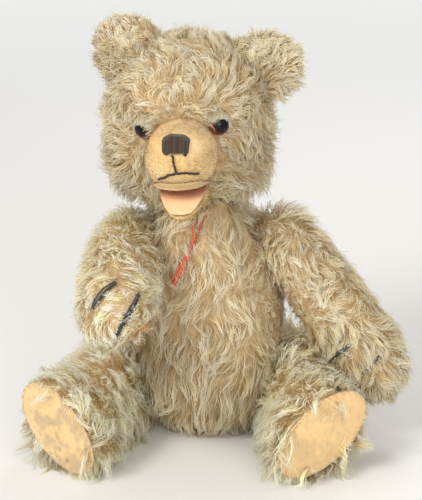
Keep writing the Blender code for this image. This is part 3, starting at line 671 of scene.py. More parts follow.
def joined_tree(meshes):
    """One tree over several (points, triangles)."""
    verts, faces = [], []
    for points, triangles in meshes:
        faces += (triangles + len(verts)).tolist()
        verts += points.tolist()
    return BVHTree.FromPolygons(verts, faces)


def cad_tree(*names):
    """One tree over CAD nodes."""
    return joined_tree([node_triangles(name) for name in names])


def near_nodes(*limits):
    """A test for points closer to a CAD node than its limit in millimetres."""
    trees = [(cad_tree(name), limit * MM) for name, limit in limits]
    return lambda p: any(tree.find_nearest(p, limit)[0] is not None for tree, limit in trees)


def closeness(points, tree, near, far):
    """1 where a point is nearer than near to the tree's surface, falling to 0 at far, in millimetres."""
    found = [tree.find_nearest(Vector(p), far * MM)[3] for p in points]
    gap = np.array([far * MM if d is None else d for d in found])
    return 1.0 - smoothstep((gap - near * MM) / ((far - near) * MM))


def flat_frame(name, away_from):
    """Middle, outward normal and long axis of a flat node; the normal points away from a point."""
    points = node_triangles(name)[0]
    centre = middle(name)
    _, _, axes = np.linalg.svd(points - points.mean(axis=0), full_matrices=False)
    return centre, axes[2] * np.sign((centre - away_from).dot(axes[2])), axes[0]


def run_along(points):
    """How far along a route each of its points is."""
    return np.concatenate([[0.0], np.cumsum(np.linalg.norm(np.diff(points, axis=0), axis=1))])


def node_line(name, count=9):
    """Points down the middle of a long thin CAD node, evenly spaced."""
    points = node_triangles(name)[0]
    centre = points.mean(axis=0)
    axis = np.linalg.svd(points - centre, full_matrices=False)[2][0]
    along = (points - centre).dot(axis)
    marks = np.linspace(along.min(), along.max(), count)
    reach = (along.max() - along.min()) / (count - 1) * 0.7
    near = np.exp(-((along[None] - marks[:, None]) / reach) ** 2)
    line = near.dot(points) / near.sum(axis=1, keepdims=True)
    return line + axis * (marks - (line - centre).dot(axis))[:, None]


def smooth_route(points, spacing):
    """Points spaced evenly along a Catmull-Rom curve through the route's own points."""
    points = np.asarray(points)
    ends = np.concatenate([[2 * points[0] - points[1]], points, [2 * points[-1] - points[-2]]])
    t = np.linspace(0.0, 1.0, 21)[:-1, None]
    pieces = [0.5 * (2 * b + (c - a) * t + (2 * a - 5 * b + 4 * c - d) * t ** 2
                     + (3 * b - a - 3 * c + d) * t ** 3)
              for a, b, c, d in zip(ends, ends[1:], ends[2:], ends[3:])]
    fine = np.concatenate(pieces + [points[-1:]])
    run = run_along(fine)
    marks = np.linspace(0.0, run[-1], max(2, round(run[-1] / spacing)) + 1)
    return np.stack([np.interp(marks, run, fine[:, k]) for k in range(3)], axis=1)


# ---------------------------------------------------------------- combing, length and colour

def comb_torso(points, out):
    """Straight down, and outwards under the seat."""
    return unit(points * np.array([1.0, 1.0, 0.0])) * 0.25 + DOWN


# Which way the pile over each eye leans as it falls, along X
BROWS = {LEFT: 1.0, RIGHT: -0.6}


def comb_head(points, out):
    """Away from the muzzle: up over the forehead, sideways and down on the cheeks, down over the eyes."""
    muzzle = middle("muzzle_cover") + np.array([0.0, 0.0, 4.0]) * MM
    away = unit(points - muzzle)
    crown = smoothstep((points[:, 2:3] - muzzle[2]) / (40 * MM))
    way = away * 0.9 + DOWN * 0.9 * (1 - crown) + np.array([0.0, 0.35, 0.25]) * crown
    for side, inwards in BROWS.items():
        brow = middle("eye_" + side) + np.array([inwards * 2.0, 0.0, 6.5]) * MM
        near = smoothstep(1.6 - np.linalg.norm(points - brow, axis=1, keepdims=True) / (9 * MM))
        way = way * (1 - near) + np.array([inwards * 0.35, 0.0, -1.0]) * near
    return way


def comb_limb(start, pad, sag):
    """Along a limb with some fall, then outwards all round its pad."""
    along = unit(middle(pad) - middle(start))
    centre, normal, _ = flat_frame(pad, middle(start))

    def comb(points, out):
        arm = points - centre
        spread = unit(arm - np.outer(arm.dot(normal), normal))
        end = smoothstep((30 * MM - np.linalg.norm(arm, axis=1, keepdims=True)) / (16 * MM))
        return (along + DOWN * sag) * (1 - end) + (spread + normal * 0.45) * end
    return comb


def comb_ear(name):
    """Outwards all round an ear from its root."""
    root = middle(name) * 0.6 + middle("head_cover") * 0.4
    return lambda points, out: unit(points - root) + out * 0.4


# Linear colours. The backing's two colours are the woven ground under the pile, dark and light,
# darkened as painted shadow under the pile.
BACKING_SHADE = (0.40, 0.28, 0.14), (0.64, 0.50, 0.29)
# Painted shade: a strand is dark at its root, as the shade deep in the pile
PILE_ROOT_SHADE = np.array([0.560, 0.375, 0.160])
PILE_MIDDLE = np.array([0.900, 0.790, 0.530])
# The pile's pale tips, whitened further as painted highlight
PILE_TIP = np.array([0.970, 0.930, 0.780])
# Painted highlight: the white that some whole locks take
PILE_HIGHLIGHT = np.array([0.970, 0.955, 0.850])
PILE_BROWN = np.array([0.500, 0.330, 0.140])
PILE_RUST = np.array([0.330, 0.165, 0.065])
MUZZLE_PEACH = np.array([0.780, 0.530, 0.220])
FELT_PEACH = np.array([0.800, 0.550, 0.265])
FELT_LEAF = np.array([0.900, 0.590, 0.320])
FELT_ORANGE = np.array([0.720, 0.330, 0.110])
# Grey of the pads' dirt, which also paints shade along their creases
DIRT_AND_SHADE_GREY = np.array([0.340, 0.285, 0.185])
# Painted shade inside the mouth, deepening towards the throat
THROAT_SHADE = np.array([0.430, 0.150, 0.045])
MUZZLE_WORN = np.array([0.820, 0.640, 0.400])

# How white a lock's painted highlight is and how rusty a full stain is, and how far the root, the middle and
# the tip of a strand take the brown of their patch and the painted highlight of their lock
HIGHLIGHT_STRENGTH, RUST = 0.75, 0.8
STRAND_PARTS = ((PILE_ROOT_SHADE, 0.75, 0.0), (PILE_MIDDLE, 0.65, 0.5), (PILE_TIP, 0.42, 1.0))

# Browner patches of pile: node, share of the way across its box, reach in millimetres, strength
BROWN_PATCHES = [
    ("ear_right", (0.05, 0.3, 0.45), 11, 0.9), ("ear_left", (0.45, 0.0, 0.45), 9, 0.9),
    ("ear_left", (0.9, 0.3, 0.2), 9, 0.5), ("head_cover", (0.93, 0.2, 0.30), 20, 0.75),
    ("head_cover", (0.05, 0.3, 0.3), 14, 0.35), ("torso_cover", (0.25, 0.1, 0.82), 16, 0.4),
    ("torso_cover", (0.62, 0.0, 0.30), 15, 0.35), ("torso_cover", (0.45, 0.0, 0.06), 20, 0.6),
    ("torso_cover", (0.08, 0.1, 0.40), 20, 0.65), ("torso_cover", (0.90, 0.2, 0.40), 14, 0.45),
]


def brown_patches(roots):
    """How brown the pile is at each root for the patches above."""
    patch = np.zeros(len(roots))
    for name, share, reach, strength in BROWN_PATCHES:
        gap = np.linalg.norm(roots - in_box(name, share), axis=1)
        patch = np.maximum(patch, strength * smoothstep(1.4 - gap / (reach * MM)))
    return patch


def toned(colour, tone=1.0):
    return np.clip(colour * tone, 0.0, BRIGHTEST)


def mixed(first, second, share):
    return first + (second - first) * share


def pile_colours(rng, roots, lead, seed, stain, pelt):
    """Root, middle and tip colours: pale locks over roots darkened as painted shade, painted white highlights
    on some locks, browner patches and stains.
    """
    count, locks = len(roots), lead.max() + 1
    patch = pelt.brown * smoothstep(noise_at(roots, 17 * MM, seed + 3) * 0.9 + 0.22)
    patch = np.maximum(patch, brown_patches(roots))[:, None]
    # Each lock's lightness varies at random round its region's tone, which is painted light
    lock_tone = rng.normal(pelt.tone, 0.08, locks)[lead][:, None]
    # Painted highlight: some locks are whitened along their length, most at the tip
    white = (rng.random(locks) < pelt.white)[lead][:, None] * HIGHLIGHT_STRENGTH
    tone = lock_tone * rng.normal(1.0, 0.06, count)[:, None]
    warm = 1.0 + rng.normal(0.0, 0.03, (count, 1)) * np.array([1.0, 0.0, -1.5])
    colours = []
    for base, browned, takes_highlight in STRAND_PARTS:
        colour = mixed(base, PILE_BROWN, patch * browned)
        colour = mixed(colour, PILE_HIGHLIGHT, white * takes_highlight)
        colours.append(toned(mixed(colour, PILE_RUST, stain[:, None] * RUST), tone * warm))
    return colours


def rising(values, start, over):
    """0 at start and 1 at start + over, in millimetres, smoothly between them. over may be negative."""
    return smoothstep((values - start * MM) / (over * MM))


def under_arm(roots, facing):
    """How much shorter pile is in the gap that is left between the left arm and the body."""
    low = rising(roots[:, 2], 118, -15) * rising(roots[:, 2], 55, 15)
    return 0.7 * low * closeness(roots, cad_tree(facing), 14.0, 34.0)


def jowls(roots, drop, over):
    """1 low down at the sides of the head, starting drop below the muzzle's middle, in millimetres."""
    low = smoothstep((middle("muzzle_cover")[2] - drop * MM - roots[:, 2]) / (over * MM))
    return low * smoothstep((np.abs(roots[:, 0] - middle("head_cover")[0]) / MM - 20) / 20)


def head_lengths(roots):
    """Shorter by the eyes, the muzzle and the mouth, and longer on the jowls."""
    length = 1 - 0.40 * closeness(roots, cad_tree("eye_left", "eye_right"), 1.0, 9.0)
    length *= 1 - 0.45 * closeness(roots, cad_tree("muzzle_cover", "mouth_lining"), 0.5, 12.0)
    return length * (1 + 0.65 * jowls(roots, 0, 25))


def torso_lengths(roots):
    """Shorter beside the thread, under the seat and under the left arm; longer at the neck and low down."""
    z = roots[:, 2]
    thread = cad_tree("red_thread", "red_knot", "red_tassel")
    length = 1 - 0.62 * rising(z, 147, -4) * closeness(roots, thread, 1.0, 8.0)
    length *= 1 + 0.2 * rising(z, 80, -40)
    length *= 1 - 0.5 * rising(z, 30, -20)
    length *= 1 + 0.5 * rising(z, 150, 8)
    return length * (1 - under_arm(roots, "arm_cover_left"))


def arm_lengths(roots, side):
    """Longer at the shoulder, and shorter under the left arm and by the claws, if not by the pad."""
    claws = cad_tree(f"claw_stitch_{side}_1", f"claw_stitch_{side}_2")
    pad = closeness(roots, cad_tree("palm_pad_" + side), 0.0, 9.0)
    length = 1 + 0.4 * rising(roots[:, 2], 138, 12)
    if side == LEFT:
        length *= 1 - under_arm(roots, "torso_cover")
    return length * (1 - 0.75 * closeness(roots, claws, 1.5, 7.0) * (1 - 0.8 * pad))


def leg_lengths(roots, side):
    """Longer round the sole and on the leg's inner side, but short beside the sole's upper outer edge."""
    sole = middle("sole_" + side)
    inwards = (sole[0] - roots[:, 0]) * np.sign(sole[0]) / MM
    by_sole = closeness(roots, cad_tree("sole_" + side), 5.0, 28.0)
    outer = smoothstep((-inwards - 4) / 10) * smoothstep((roots[:, 2] - sole[2]) / (8 * MM) + 1)
    length = 1 + 0.28 * by_sole + 0.45 * smoothstep((inwards + 2) / 22)
    return length * (1 - 0.75 * by_sole * outer)


def split_name(region):
    """A region's limb and side; the torso and the head have no side."""
    limb, _, side = region.partition("_")
    return limb, side


def strand_lengths(region, roots, base, seed):
    """The length of the pile at each root."""
    length = base * MM * (1.0 + 0.22 * noise_at(roots, 14 * MM, seed + 5))
    limb, side = split_name(region)
    if limb == "arm":
        length *= arm_lengths(roots, side)
    if limb == "leg":
        length *= leg_lengths(roots, side)
    if limb == "head":
        length *= head_lengths(roots)
    if limb == "torso":
        length *= torso_lengths(roots)
    return length


def liveliness(region, roots):
    """How freely the pile swirls and curls: somewhat less down the belly."""
    if region != "torso":
        return np.ones(len(roots))
    return 0.80 + 0.20 * rising(roots[:, 2], 75, 45)


def fullness(region, roots):
    """How much further the pile stands out, in radians: on the jowls and the shoulders."""
    full = np.zeros(len(roots))
    if region == "head":
        full = 0.5 * jowls(roots, 8, 20)
    if region.startswith("arm"):
        full = rising(roots[:, 2], 132, 14)
    return full * FULLEST


def stains(region, roots):
    """How rusty the pile is: by the palm pads and a little by the soles."""
    stain = np.zeros(len(roots))
    limb, side = split_name(region)
    if limb == "arm":
        reach = 24.0 if side == LEFT else 13.0
        stain = 0.8 * closeness(roots, cad_tree("palm_pad_" + side), 0.0, reach)
    if limb == "leg":
        stain = 0.25 * closeness(roots, cad_tree("sole_" + side), 0.0, 7.0)
    return stain * np.clip(0.6 + 0.8 * noise_at(roots, 7 * MM, 91), 0, 1)


# ---------------------------------------------------------------- skins and their pelts

# What a pelt grows on: cover, stuffing, body, combing, where it is bald, and what it lies on
Ground = namedtuple("Ground", "cover stuffing body comb bare rests_on")


def grounds():
    """The ground of each pelt. Bald places are CAD nodes with their reach in millimetres."""
    face = ["muzzle_cover", "chin", "mouth_lining", "eye_left", "eye_right"]
    limbs = [(f"{limb}_cover_{side}", 1.3) for limb in ("arm", "leg") for side in (LEFT, RIGHT)]
    head_bare = [("muzzle_cover", 1.0), ("eye_left", 0.1), ("eye_right", 0.1), ("chin", 1.0),
                 ("mouth_lining", 1.5), ("torso_cover", 1.3)]
    made = {
        "torso": Ground("torso_cover", "torso_stuffing", "torso", comb_torso,
                        limbs + [("head_cover", 1.3)], []),
        "head": Ground("head_cover", "head_stuffing", "head", comb_head, head_bare, face),
    }
    for side in (LEFT, RIGHT):
        ear = "ear_" + side
        made[ear] = Ground(ear, None, "head", comb_ear(ear), [], [])
        for limb, joint, pad, sag in (("arm", "shoulder", "palm_pad", 0.35), ("leg", "hip", "sole", 0.25)):
            comb = comb_limb(f"{joint}_{side}_pin", f"{pad}_{side}", sag)
            made[f"{limb}_{side}"] = Ground(
                f"{limb}_cover_{side}", f"{limb}_stuffing_{side}", f"{limb}_{side}", comb,
                [(f"{pad}_{side}", 0.9), ("torso_cover", 1.3)], [f"{pad}_{side}"])
    return made


def add_skin(region, bm, ground, material):
    """The stuffed skin under the pile."""
    mesh = new_mesh("skin_" + region, bm)
    shade_smooth(mesh)
    skin = show("skin_" + region, mesh, material, ground.body)
    smooth = skin.modifiers.new("smooth", "SUBSURF")
    smooth.levels = smooth.render_levels = 1
    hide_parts(ground.cover)


def add_pelt(number, region, ground, material, backing):
    """A region's skin and the pile on it."""
    pelt, seed = PELTS[region], 10 * number
    rng = np.random.default_rng(100 + number)
    bm = outer_bmesh(ground.cover, ground.stuffing, ground.body)
    skin = Skin(bm, near_nodes(*ground.bare), ground.rests_on)
    add_skin(region, bm, ground, backing)
    bm.free()
    guide_roots, guide_normals = skin.scatter(rng, int(pelt.strands * GUIDE_SHARE))
    lengths = strand_lengths(region, guide_roots, pelt.length, seed)
    lively, puff = liveliness(region, guide_roots), fullness(region, guide_roots)
    paths = groom(skin, guide_roots, guide_normals, ground.comb, pelt, lengths, lively, puff, seed)
    roots, normals = skin.scatter(rng, pelt.strands)
    strands, lead = strand_paths(rng, roots, normals, guide_roots, paths, pelt)
    colours = pile_colours(rng, roots, lead, seed, stains(region, roots), pelt)
    widths = STRAND_WIDTH * rng.uniform(0.6, 1.25, pelt.strands)
    rolls = rng.normal(0.0, 0.5, pelt.strands)
    ribbons("pile_" + region, keep_inside(strands), normals, widths, rolls, colours, ground.body,
            material)


def keep_inside(strands):
    """Strands stay above the floor and inside the room that pile may take round the CAD."""
    low, high = (np.array(corner) for corner in CAD_BOUNDS)
    room = (high - low) * PROUD_SHARE + PROUD_BY
    low, high = low - room, high + room
    low[2] = FLOOR_CLEAR
    return np.clip(strands, low, high)


# ---------------------------------------------------------------- threads and short fibres

def route_frame(route):
    """Two directions square to a route all the way along it, without twist."""
    along = unit(np.gradient(route, axis=0))
    side = np.zeros_like(route)
    side[0] = unit(np.cross(along[0], np.array([0.30, 0.60, 0.74])))
    for i in range(1, len(route)):
        side[i] = unit(side[i - 1] - along[i] * side[i - 1].dot(along[i]))
    return side, np.cross(along, side)


class Threads:
    """Gathers round tubes into one mesh, each with its own colour."""

    def __init__(self):
        self.points, self.faces, self.colours = [], [], []

    def tube(self, route, radius, colour, sides=6):
        """A tube along the route, drawn in at both ends."""
        route = np.asarray(route)
        side, other = route_frame(route)
        drawn = np.ones(len(route))
        drawn[[0, -1]] = 0.45
        angles = np.linspace(0.0, 2 * math.pi, sides, endpoint=False)[None, :, None]
        ring = turned_to(angles, side[:, None], other[:, None]) * drawn[:, None, None]
        start, last = len(self.points), (len(route) - 1) * sides
        self.points += (route[:, None] + ring * radius).reshape(-1, 3).tolist()
        for i in range(start, start + last, sides):
            for k in range(sides):
                a, b = i + k, i + (k + 1) % sides
                self.faces.append((a, b, b + sides, a + sides))
        self.faces.append([start + k for k in reversed(range(sides))])
        self.faces.append([start + last + k for k in range(sides)])
        self.colours += [np.asarray(colour).tolist()] * (len(route) * sides)

    def twisted(self, route, radius, colour, plies=2, pitch=3.2 * MM):
        """Plies twisted together into one thread."""
        route = np.asarray(route)
        side, other = route_frame(route)
        run = run_along(route)
        for ply in range(plies):
            angle = (2 * math.pi * (run / pitch + ply / plies))[:, None]
            line = route + radius * 0.42 * turned_to(angle, side, other)
            self.tube(line, radius * 0.60, np.asarray(colour) * (1.0 - 0.18 * ply), 5)

    def show(self, name, material, body, slot):
        mesh = bpy.data.meshes.new(name)
        mesh.from_pydata(self.points, [], self.faces)
        shade_smooth(mesh)
        paint(mesh, np.array(self.colours))
        return show(name, mesh, material, body)


def fibres(rng, roots, aims, lengths, spread, bend):
    """Short bent fibres: three points each, leaving their roots roughly along their aims."""
    ways = unit(aims + rng.normal(size=roots.shape) * spread)
    bends = np.cross(ways, unit(rng.normal(size=roots.shape))) * bend
    share = np.linspace(0.0, 1.0, 3)[None, :, None]
    reach = lengths[:, None, None]
    return roots[:, None] + (ways[:, None] * share + bends[:, None] * share ** 2) * reach


def nowhere(point):
    return False


def add_fuzz(name, bm, count, length, look, body, material, seed, bald=nowhere):
    """Short fibres all over a surface. look gives their colours from their roots."""
    rng = np.random.default_rng(500 + seed)
    roots, normals = Skin(bm, bald).scatter(rng, count)
    lean = unit(np.stack([noise_at(roots, 9 * MM, seed + k) for k in range(3)], axis=1))
    lengths = length * rng.uniform(0.6, 1.2, count)
    paths = fibres(rng, roots - normals * 0.1 * MM, normals * 0.8 + lean * 0.6, lengths, 0.45, 0.5)
    base = look(roots) * rng.normal(1.0, 0.07, (count, 1))
    # Painted shade and light: each fibre is a little darker at its root and lighter at its tip
    colours = [toned(base, tone) for tone in (0.92, 1.0, 1.06)]
    widths = 0.30 * MM * rng.uniform(0.7, 1.2, count)
    return ribbons(name, keep_inside(paths), normals, widths, rng.normal(0.0, 0.6, count), colours,
                   body, material, softness=0.8)


def add_fray(rng, name, paths, out, width, colours, body, material):
    """Loose fibres that lie on a thread and face outwards."""
    count = len(paths)
    return ribbons(name, paths, np.tile(out, (count, 1)), np.full(count, width), rng.normal(0.0, 0.8, count),
                   colours, body, material, softness=0.4)


def refined(name, edge, rounds=4):
    """A CAD node's mesh with no edge longer than edge, eased smooth."""
    bm = cad_bmesh(name)
    for _ in range(rounds):
        long_edges = [e for e in bm.edges if e.calc_length() > edge]
        if not long_edges:
            break
        bmesh.ops.subdivide_edges(bm, edges=long_edges, cuts=1)
        bmesh.ops.triangulate(bm, faces=[f for f in bm.faces if len(f.verts) > 3])
    for _ in range(2):
        bmesh.ops.smooth_vert(bm, verts=bm.verts, factor=0.4, use_axis_x=True, use_axis_y=True,
                              use_axis_z=True)
    bm.normal_update()
    return bm


def soft_piece(name, bm, look, material, body):
    """A smooth-shaded piece painted point by point."""
    mesh = new_mesh(name, bm)
    shade_smooth(mesh)
    paint(mesh, look(np.array([v.co for v in mesh.vertices])))
    return show(name, mesh, material, body)


def ringed_form(top, rings):
    """A closed form: a fan from its top to its first ring, faces between rings, and a flat end."""
    bm = bmesh.new()
    top = bm.verts.new(top)
    rows = [[bm.verts.new(point) for point in ring] for ring in rings]
    for k in range(len(rows[0])):
        n = (k + 1) % len(rows[0])
        bm.faces.new((top, rows[0][k], rows[0][n]))
        for inner, outer in zip(rows, rows[1:]):
            bm.faces.new((inner[k], outer[k], outer[n], inner[n]))
    bm.faces.new(list(reversed(rows[-1])))
    return bm


# ---------------------------------------------------------------- muzzle, mouth and chin

RIB_PITCH, RIB_DEPTH = 1.5 * MM, 0.4 * MM
RIB_ACROSS = np.array([0.50, 0.20, 0.84])        # the ribs of the muzzle run down to the bear's left
WORN_REACH = 11 * MM
MESH_STEP, LINING_STEP = 2.2 * MM, 1.6 * MM     # the longest edge of a soft piece's mesh


def rib_heights():
    """The heights from which the muzzle's ribs fade and at which they are gone."""
    return in_box("muzzle_cover", (0, 0, 0.50))[2], in_box("muzzle_cover", (0, 0, 0.80))[2]


def rib_wave(points):
    """1 on a rib of the muzzle's cloth and -1 between two, fading out towards the worn top."""
    low, high = rib_heights()
    fade = 1 - smoothstep((points[:, 2] - low) / (high - low))
    return np.cos(points.dot(RIB_ACROSS) * 2 * math.pi / RIB_PITCH) * fade


def muzzle_look(points):
    """Golden peach with painted light and shade on its ribs, blotched darker, and paler where it is worn
    beside the nose.
    """
    blotch = smoothstep(noise_at(points, 12 * MM, 5) * 0.9 + 0.35)[:, None]
    worn_at = in_box("muzzle_cover", (0.72, 0.1, 0.80))
    worn = smoothstep(1.2 - np.linalg.norm(points - worn_at, axis=1) / WORN_REACH)[:, None]
    colour = MUZZLE_PEACH * (1.04 - 0.20 * blotch)
    # Painted light and shade: rib crests lighter, the grooves between them darker
    colour = colour * (1 + 0.15 * rib_wave(points)[:, None] * (1 - 0.6 * worn))
    return toned(mixed(colour, MUZZLE_WORN, worn * 0.6))


def lining_look(points):
    """Muzzle-coloured at the lip and darkened there as painted shade, bright on the jaw leaf, and darkened
    towards the throat as painted shade.
    """
    lip = smoothstep((points[:, 2] - in_box("mouth_lining", (0, 0, 0.74))[2]) / (1.0 * MM))[:, None]
    # Painted shade: the felt darkens going back into the mouth
    depth = smoothstep((points[:, 1] - in_box("mouth_lining", (0, 0.24, 0))[1]) / (12 * MM))[:, None]
    mottle = 1 + 0.05 * noise_at(points, 4 * MM, 8)[:, None]
    # The lip is darkened as painted shade
    colour = mixed(FELT_LEAF * mottle, muzzle_look(points), lip) * (1 - 0.26 * lip)
    return mixed(colour, THROAT_SHADE, depth)


def add_plush(name, node_name, pile, cloth, fuzz):
    """A piece of clipped pile in place of a node: its cloth and its short fibres, as pile gives them."""
    count, length, bald, seed = pile
    bm = refined(node_name, MESH_STEP)
    piece = soft_piece(name + "_plush", bm, muzzle_look, cloth, "head")
    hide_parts(node_name)
    add_fuzz(name + "_pile", bm, count, length, muzzle_look, "head", fuzz, seed, bald)
    bm.free()


def add_muzzle(cloth, fuzz):
    inner = near_nodes(("head_stuffing", 2.2), ("nose_stitching", 0.5))
    add_plush("muzzle", "muzzle_cover", (11000, 0.9 * MM, inner, 2), cloth, fuzz)
    add_plush("chin", "chin", (2600, 3.0 * MM, near_nodes(("mouth_lining", 0.7)), 3), cloth, fuzz)


def add_lining(felt, fuzz):
    bm = refined("mouth_lining", LINING_STEP)
    lining = soft_piece("mouth_felt", bm, lining_look, felt, "head")
    nap = add_fuzz("mouth_nap", bm, 3400, 0.9 * MM, lining_look, "head", fuzz, seed=4)
    bm.free()
    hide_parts("mouth_lining")


# ---------------------------------------------------------------- eyes, nose and mouth stitches

EYE_DEPTH = 5.0 * MM
EYE_BACK = ((0.94, -0.6), (0.2, -0.9))      # its back: share of the radius, and millimetres along the axis
STITCH_DARK = np.array([0.056, 0.035, 0.024])
STITCH_STEP = 0.74 * MM
NOSE_RISE = 0.30 * MM
NOSE_OVER = 0.3 * MM        # the stitches reach this far past the pad under them at each side
NOSE_LEG = 2.4 * MM


def add_eye(side, material):
    """A glass eye: a smooth dome with a shallow back, in place of the faceted one."""
    centre, axis, radius = eye_place(side)
    apex = centre + axis * EYE_DEPTH
    across, up = route_frame(np.array([centre, apex]))
    profile = [(radius * math.cos(a), EYE_DEPTH * math.sin(a)) for a in np.linspace(math.pi / 2, 0.0, 14)[1:]]
    profile += [(radius * share, z * MM) for share, z in EYE_BACK]
    turns = np.linspace(0.0, 2 * math.pi, 40, endpoint=False)
    rings = [[centre + axis * z + turned_to(t, across[0], up[0]) * r for t in turns] for r, z in profile]
    bm = ringed_form(apex, rings)
    bmesh.ops.recalc_face_normals(bm, faces=bm.faces)
    look = partial(eye_look, centre, axis, radius)
    eye = soft_piece("glass_eye_" + side, bm, look, material, "head")
    bm.free()
    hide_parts("eye_" + side)


# Pile that lies over each eye's edge: how far it reaches in at the middle of its thickest side, as a
# share of the eye's radius, and where that side is, in degrees round from the bear's left
EYE_COVER = {LEFT: (0.42, 70.0), RIGHT: (0.62, 78.0)}
EYE_STRANDS = 330

# An eye's colours: share of the way out from its middle, then red, green and blue
EYE_TONES = [(0.0, 0.004, 0.003, 0.003), (0.60, 0.004, 0.003, 0.003), (0.66, 0.045, 0.014, 0.008),
             (0.80, 0.100, 0.027, 0.013), (0.92, 0.230, 0.060, 0.032), (1.0, 0.090, 0.022, 0.012)]


def add_eye_pile(rng, side, material):
    """Pile growing round an eye and bending in over its edge."""
    centre, axis, radius = eye_place(side)
    across = unit(np.cross([0.0, 0.0, 1.0], axis))
    up = np.cross(axis, across)
    reach, thickest = EYE_COVER[side][0], math.radians(EYE_COVER[side][1])
    angle = thickest + rng.normal(0.0, 0.75, EYE_STRANDS)
    cover = reach * (0.5 + 0.5 * np.cos(angle - thickest))
    way = turned_to(angle[:, None], across, up)
    turned = angle + rng.normal(0.0, 0.5, EYE_STRANDS)
    start = centre + way * (radius * rng.uniform(1.05, 1.5, EYE_STRANDS))[:, None] - axis * 2.0 * MM
    over = 1.0 - cover * rng.uniform(0.3, 1.1, EYE_STRANDS)
    rise = EYE_DEPTH * np.sqrt(np.clip(1.0 - over ** 2, 0.0, 1.0)) + rng.uniform(0.5, 1.6, EYE_STRANDS) * MM
    end = centre + turned_to(turned[:, None], across, up) * (radius * over)[:, None] + axis * rise[:, None]
    bend = centre + way * (radius * 1.12) + axis * (rise * 0.75 + 1.2 * MM)[:, None]
    t = np.linspace(0.0, 1.0, 6)[None, :, None]
    paths = start[:, None] * (1 - t) ** 2 + bend[:, None] * 2 * t * (1 - t) + end[:, None] * t ** 2
    tone = rng.normal(0.80, 0.10, (EYE_STRANDS, 1))
    colours = [toned(colour, tone) for colour in (PILE_ROOT_SHADE, PILE_MIDDLE, PILE_TIP)]
    ribbons("pile_eye_" + side, paths, np.tile(axis, (EYE_STRANDS, 1)), np.full(EYE_STRANDS, STRAND_WIDTH),
            rng.normal(0.0, 0.5, EYE_STRANDS), colours, "head", material)


def eye_place(side):
    """Middle of an eye's rim, the way it looks, and its radius."""
    points = node_triangles("eye_" + side)[0]
    tail = points[np.argmin(np.linalg.norm(points - middle("head_stuffing"), axis=1))]
    apex = points[np.argmax(np.linalg.norm(points - tail, axis=1))]
    axis = unit(apex - tail)
    centre = apex - axis * EYE_DEPTH
    return centre, axis, np.linalg.norm(np.cross(points - centre, axis), axis=1).max()


def eye_look(centre, axis, radius, points):
    """Black pupil, amber-brown ring and dark red-brown edge."""
    share = np.linalg.norm(np.cross(points - centre, axis), axis=1) / radius
    marks, *tones = zip(*EYE_TONES)
    return np.stack([np.interp(share, marks, tone) for tone in tones], axis=1)


def stitch_tone(rng):
    return STITCH_DARK * rng.uniform(0.65, 1.45)


def nose_stitch(tree, x, top, bottom, lean, front):
    """A stitch from top to bottom on the nose, sunk in at both ends; it leans sideways as it goes down."""
    route = []
    for part in np.linspace(0.0, 1.0, 11):
        aim = Vector((x + lean * part, front, top + (bottom - top) * part))
        hit, normal, _, _ = tree.ray_cast(aim, BACKWARDS)
        sunk = 1.0 - smoothstep(min(part, 1.0 - part) * 9.0)
        route.append(hit + normal * (NOSE_RISE - sunk * 1.1 * MM))
    return smooth_route(route, 0.9 * MM)


def add_nose(rng, material):
    """Upright satin stitches side by side, with a longer one at each lower corner."""
    tree = cad_tree("nose_stitching", "muzzle_cover")
    low, high = box_corners("nose_stitching")
    centre, half = (low[0] + high[0]) / 2, (high[0] - low[0]) / 2 + NOSE_OVER
    threads = Threads()
    for x in np.arange(centre - half, centre + half, STITCH_STEP):
        share = (x - centre) / half
        longer = NOSE_LEG * math.exp(-((abs(share) - 0.80) / 0.17) ** 2)
        top = high[2] + (0.5 * rng.random() - 3.2 * share ** 4) * MM
        bottom = low[2] + (1.9 + 0.9 * rng.random()) * MM - longer
        lean = rng.normal(0.0, 0.12 * MM) - share * 0.9 * MM
        route = nose_stitch(tree, x, top, bottom, lean, low[1] - 50 * MM)
        threads.tube(route, 0.44 * MM, stitch_tone(rng))
    satin = threads.show("nose_satin", material, "head", "brown_thread")
    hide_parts("nose_stitching")


def add_face_stitches(rng, material):
    """The stitch down from the nose and the mouth line, each of twisted thread."""
    mouth = node_line("mouth_stitch", 13)
    for name in ("philtrum_stitch", "mouth_stitch"):
        line = node_line(name, 13)
        if name == "philtrum_stitch":
            line = line[np.argsort(-line[:, 2])]
            start = line[0] + unit(line[0] - line[4]) * 3.5 * MM
            end = mouth[np.argmin(np.linalg.norm(mouth - line[-1], axis=1))]
            line = np.concatenate([[start], line, [end]])
        line = smooth_route(line, 0.9 * MM)
        line = smooth_route(line + rng.normal(size=line.shape) * 0.16 * MM, 0.5 * MM)
        threads = Threads()
        threads.twisted(line, 0.8 * MM, stitch_tone(rng), 3, 3.0 * MM)
        piece = threads.show(name + "_twist", material, "head", "brown_thread")
        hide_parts(name)


CLAW_GREY = np.array([0.052, 0.046, 0.044])
CLAW_BOW = 1.3 * MM
CLAW_FIBRES = 90


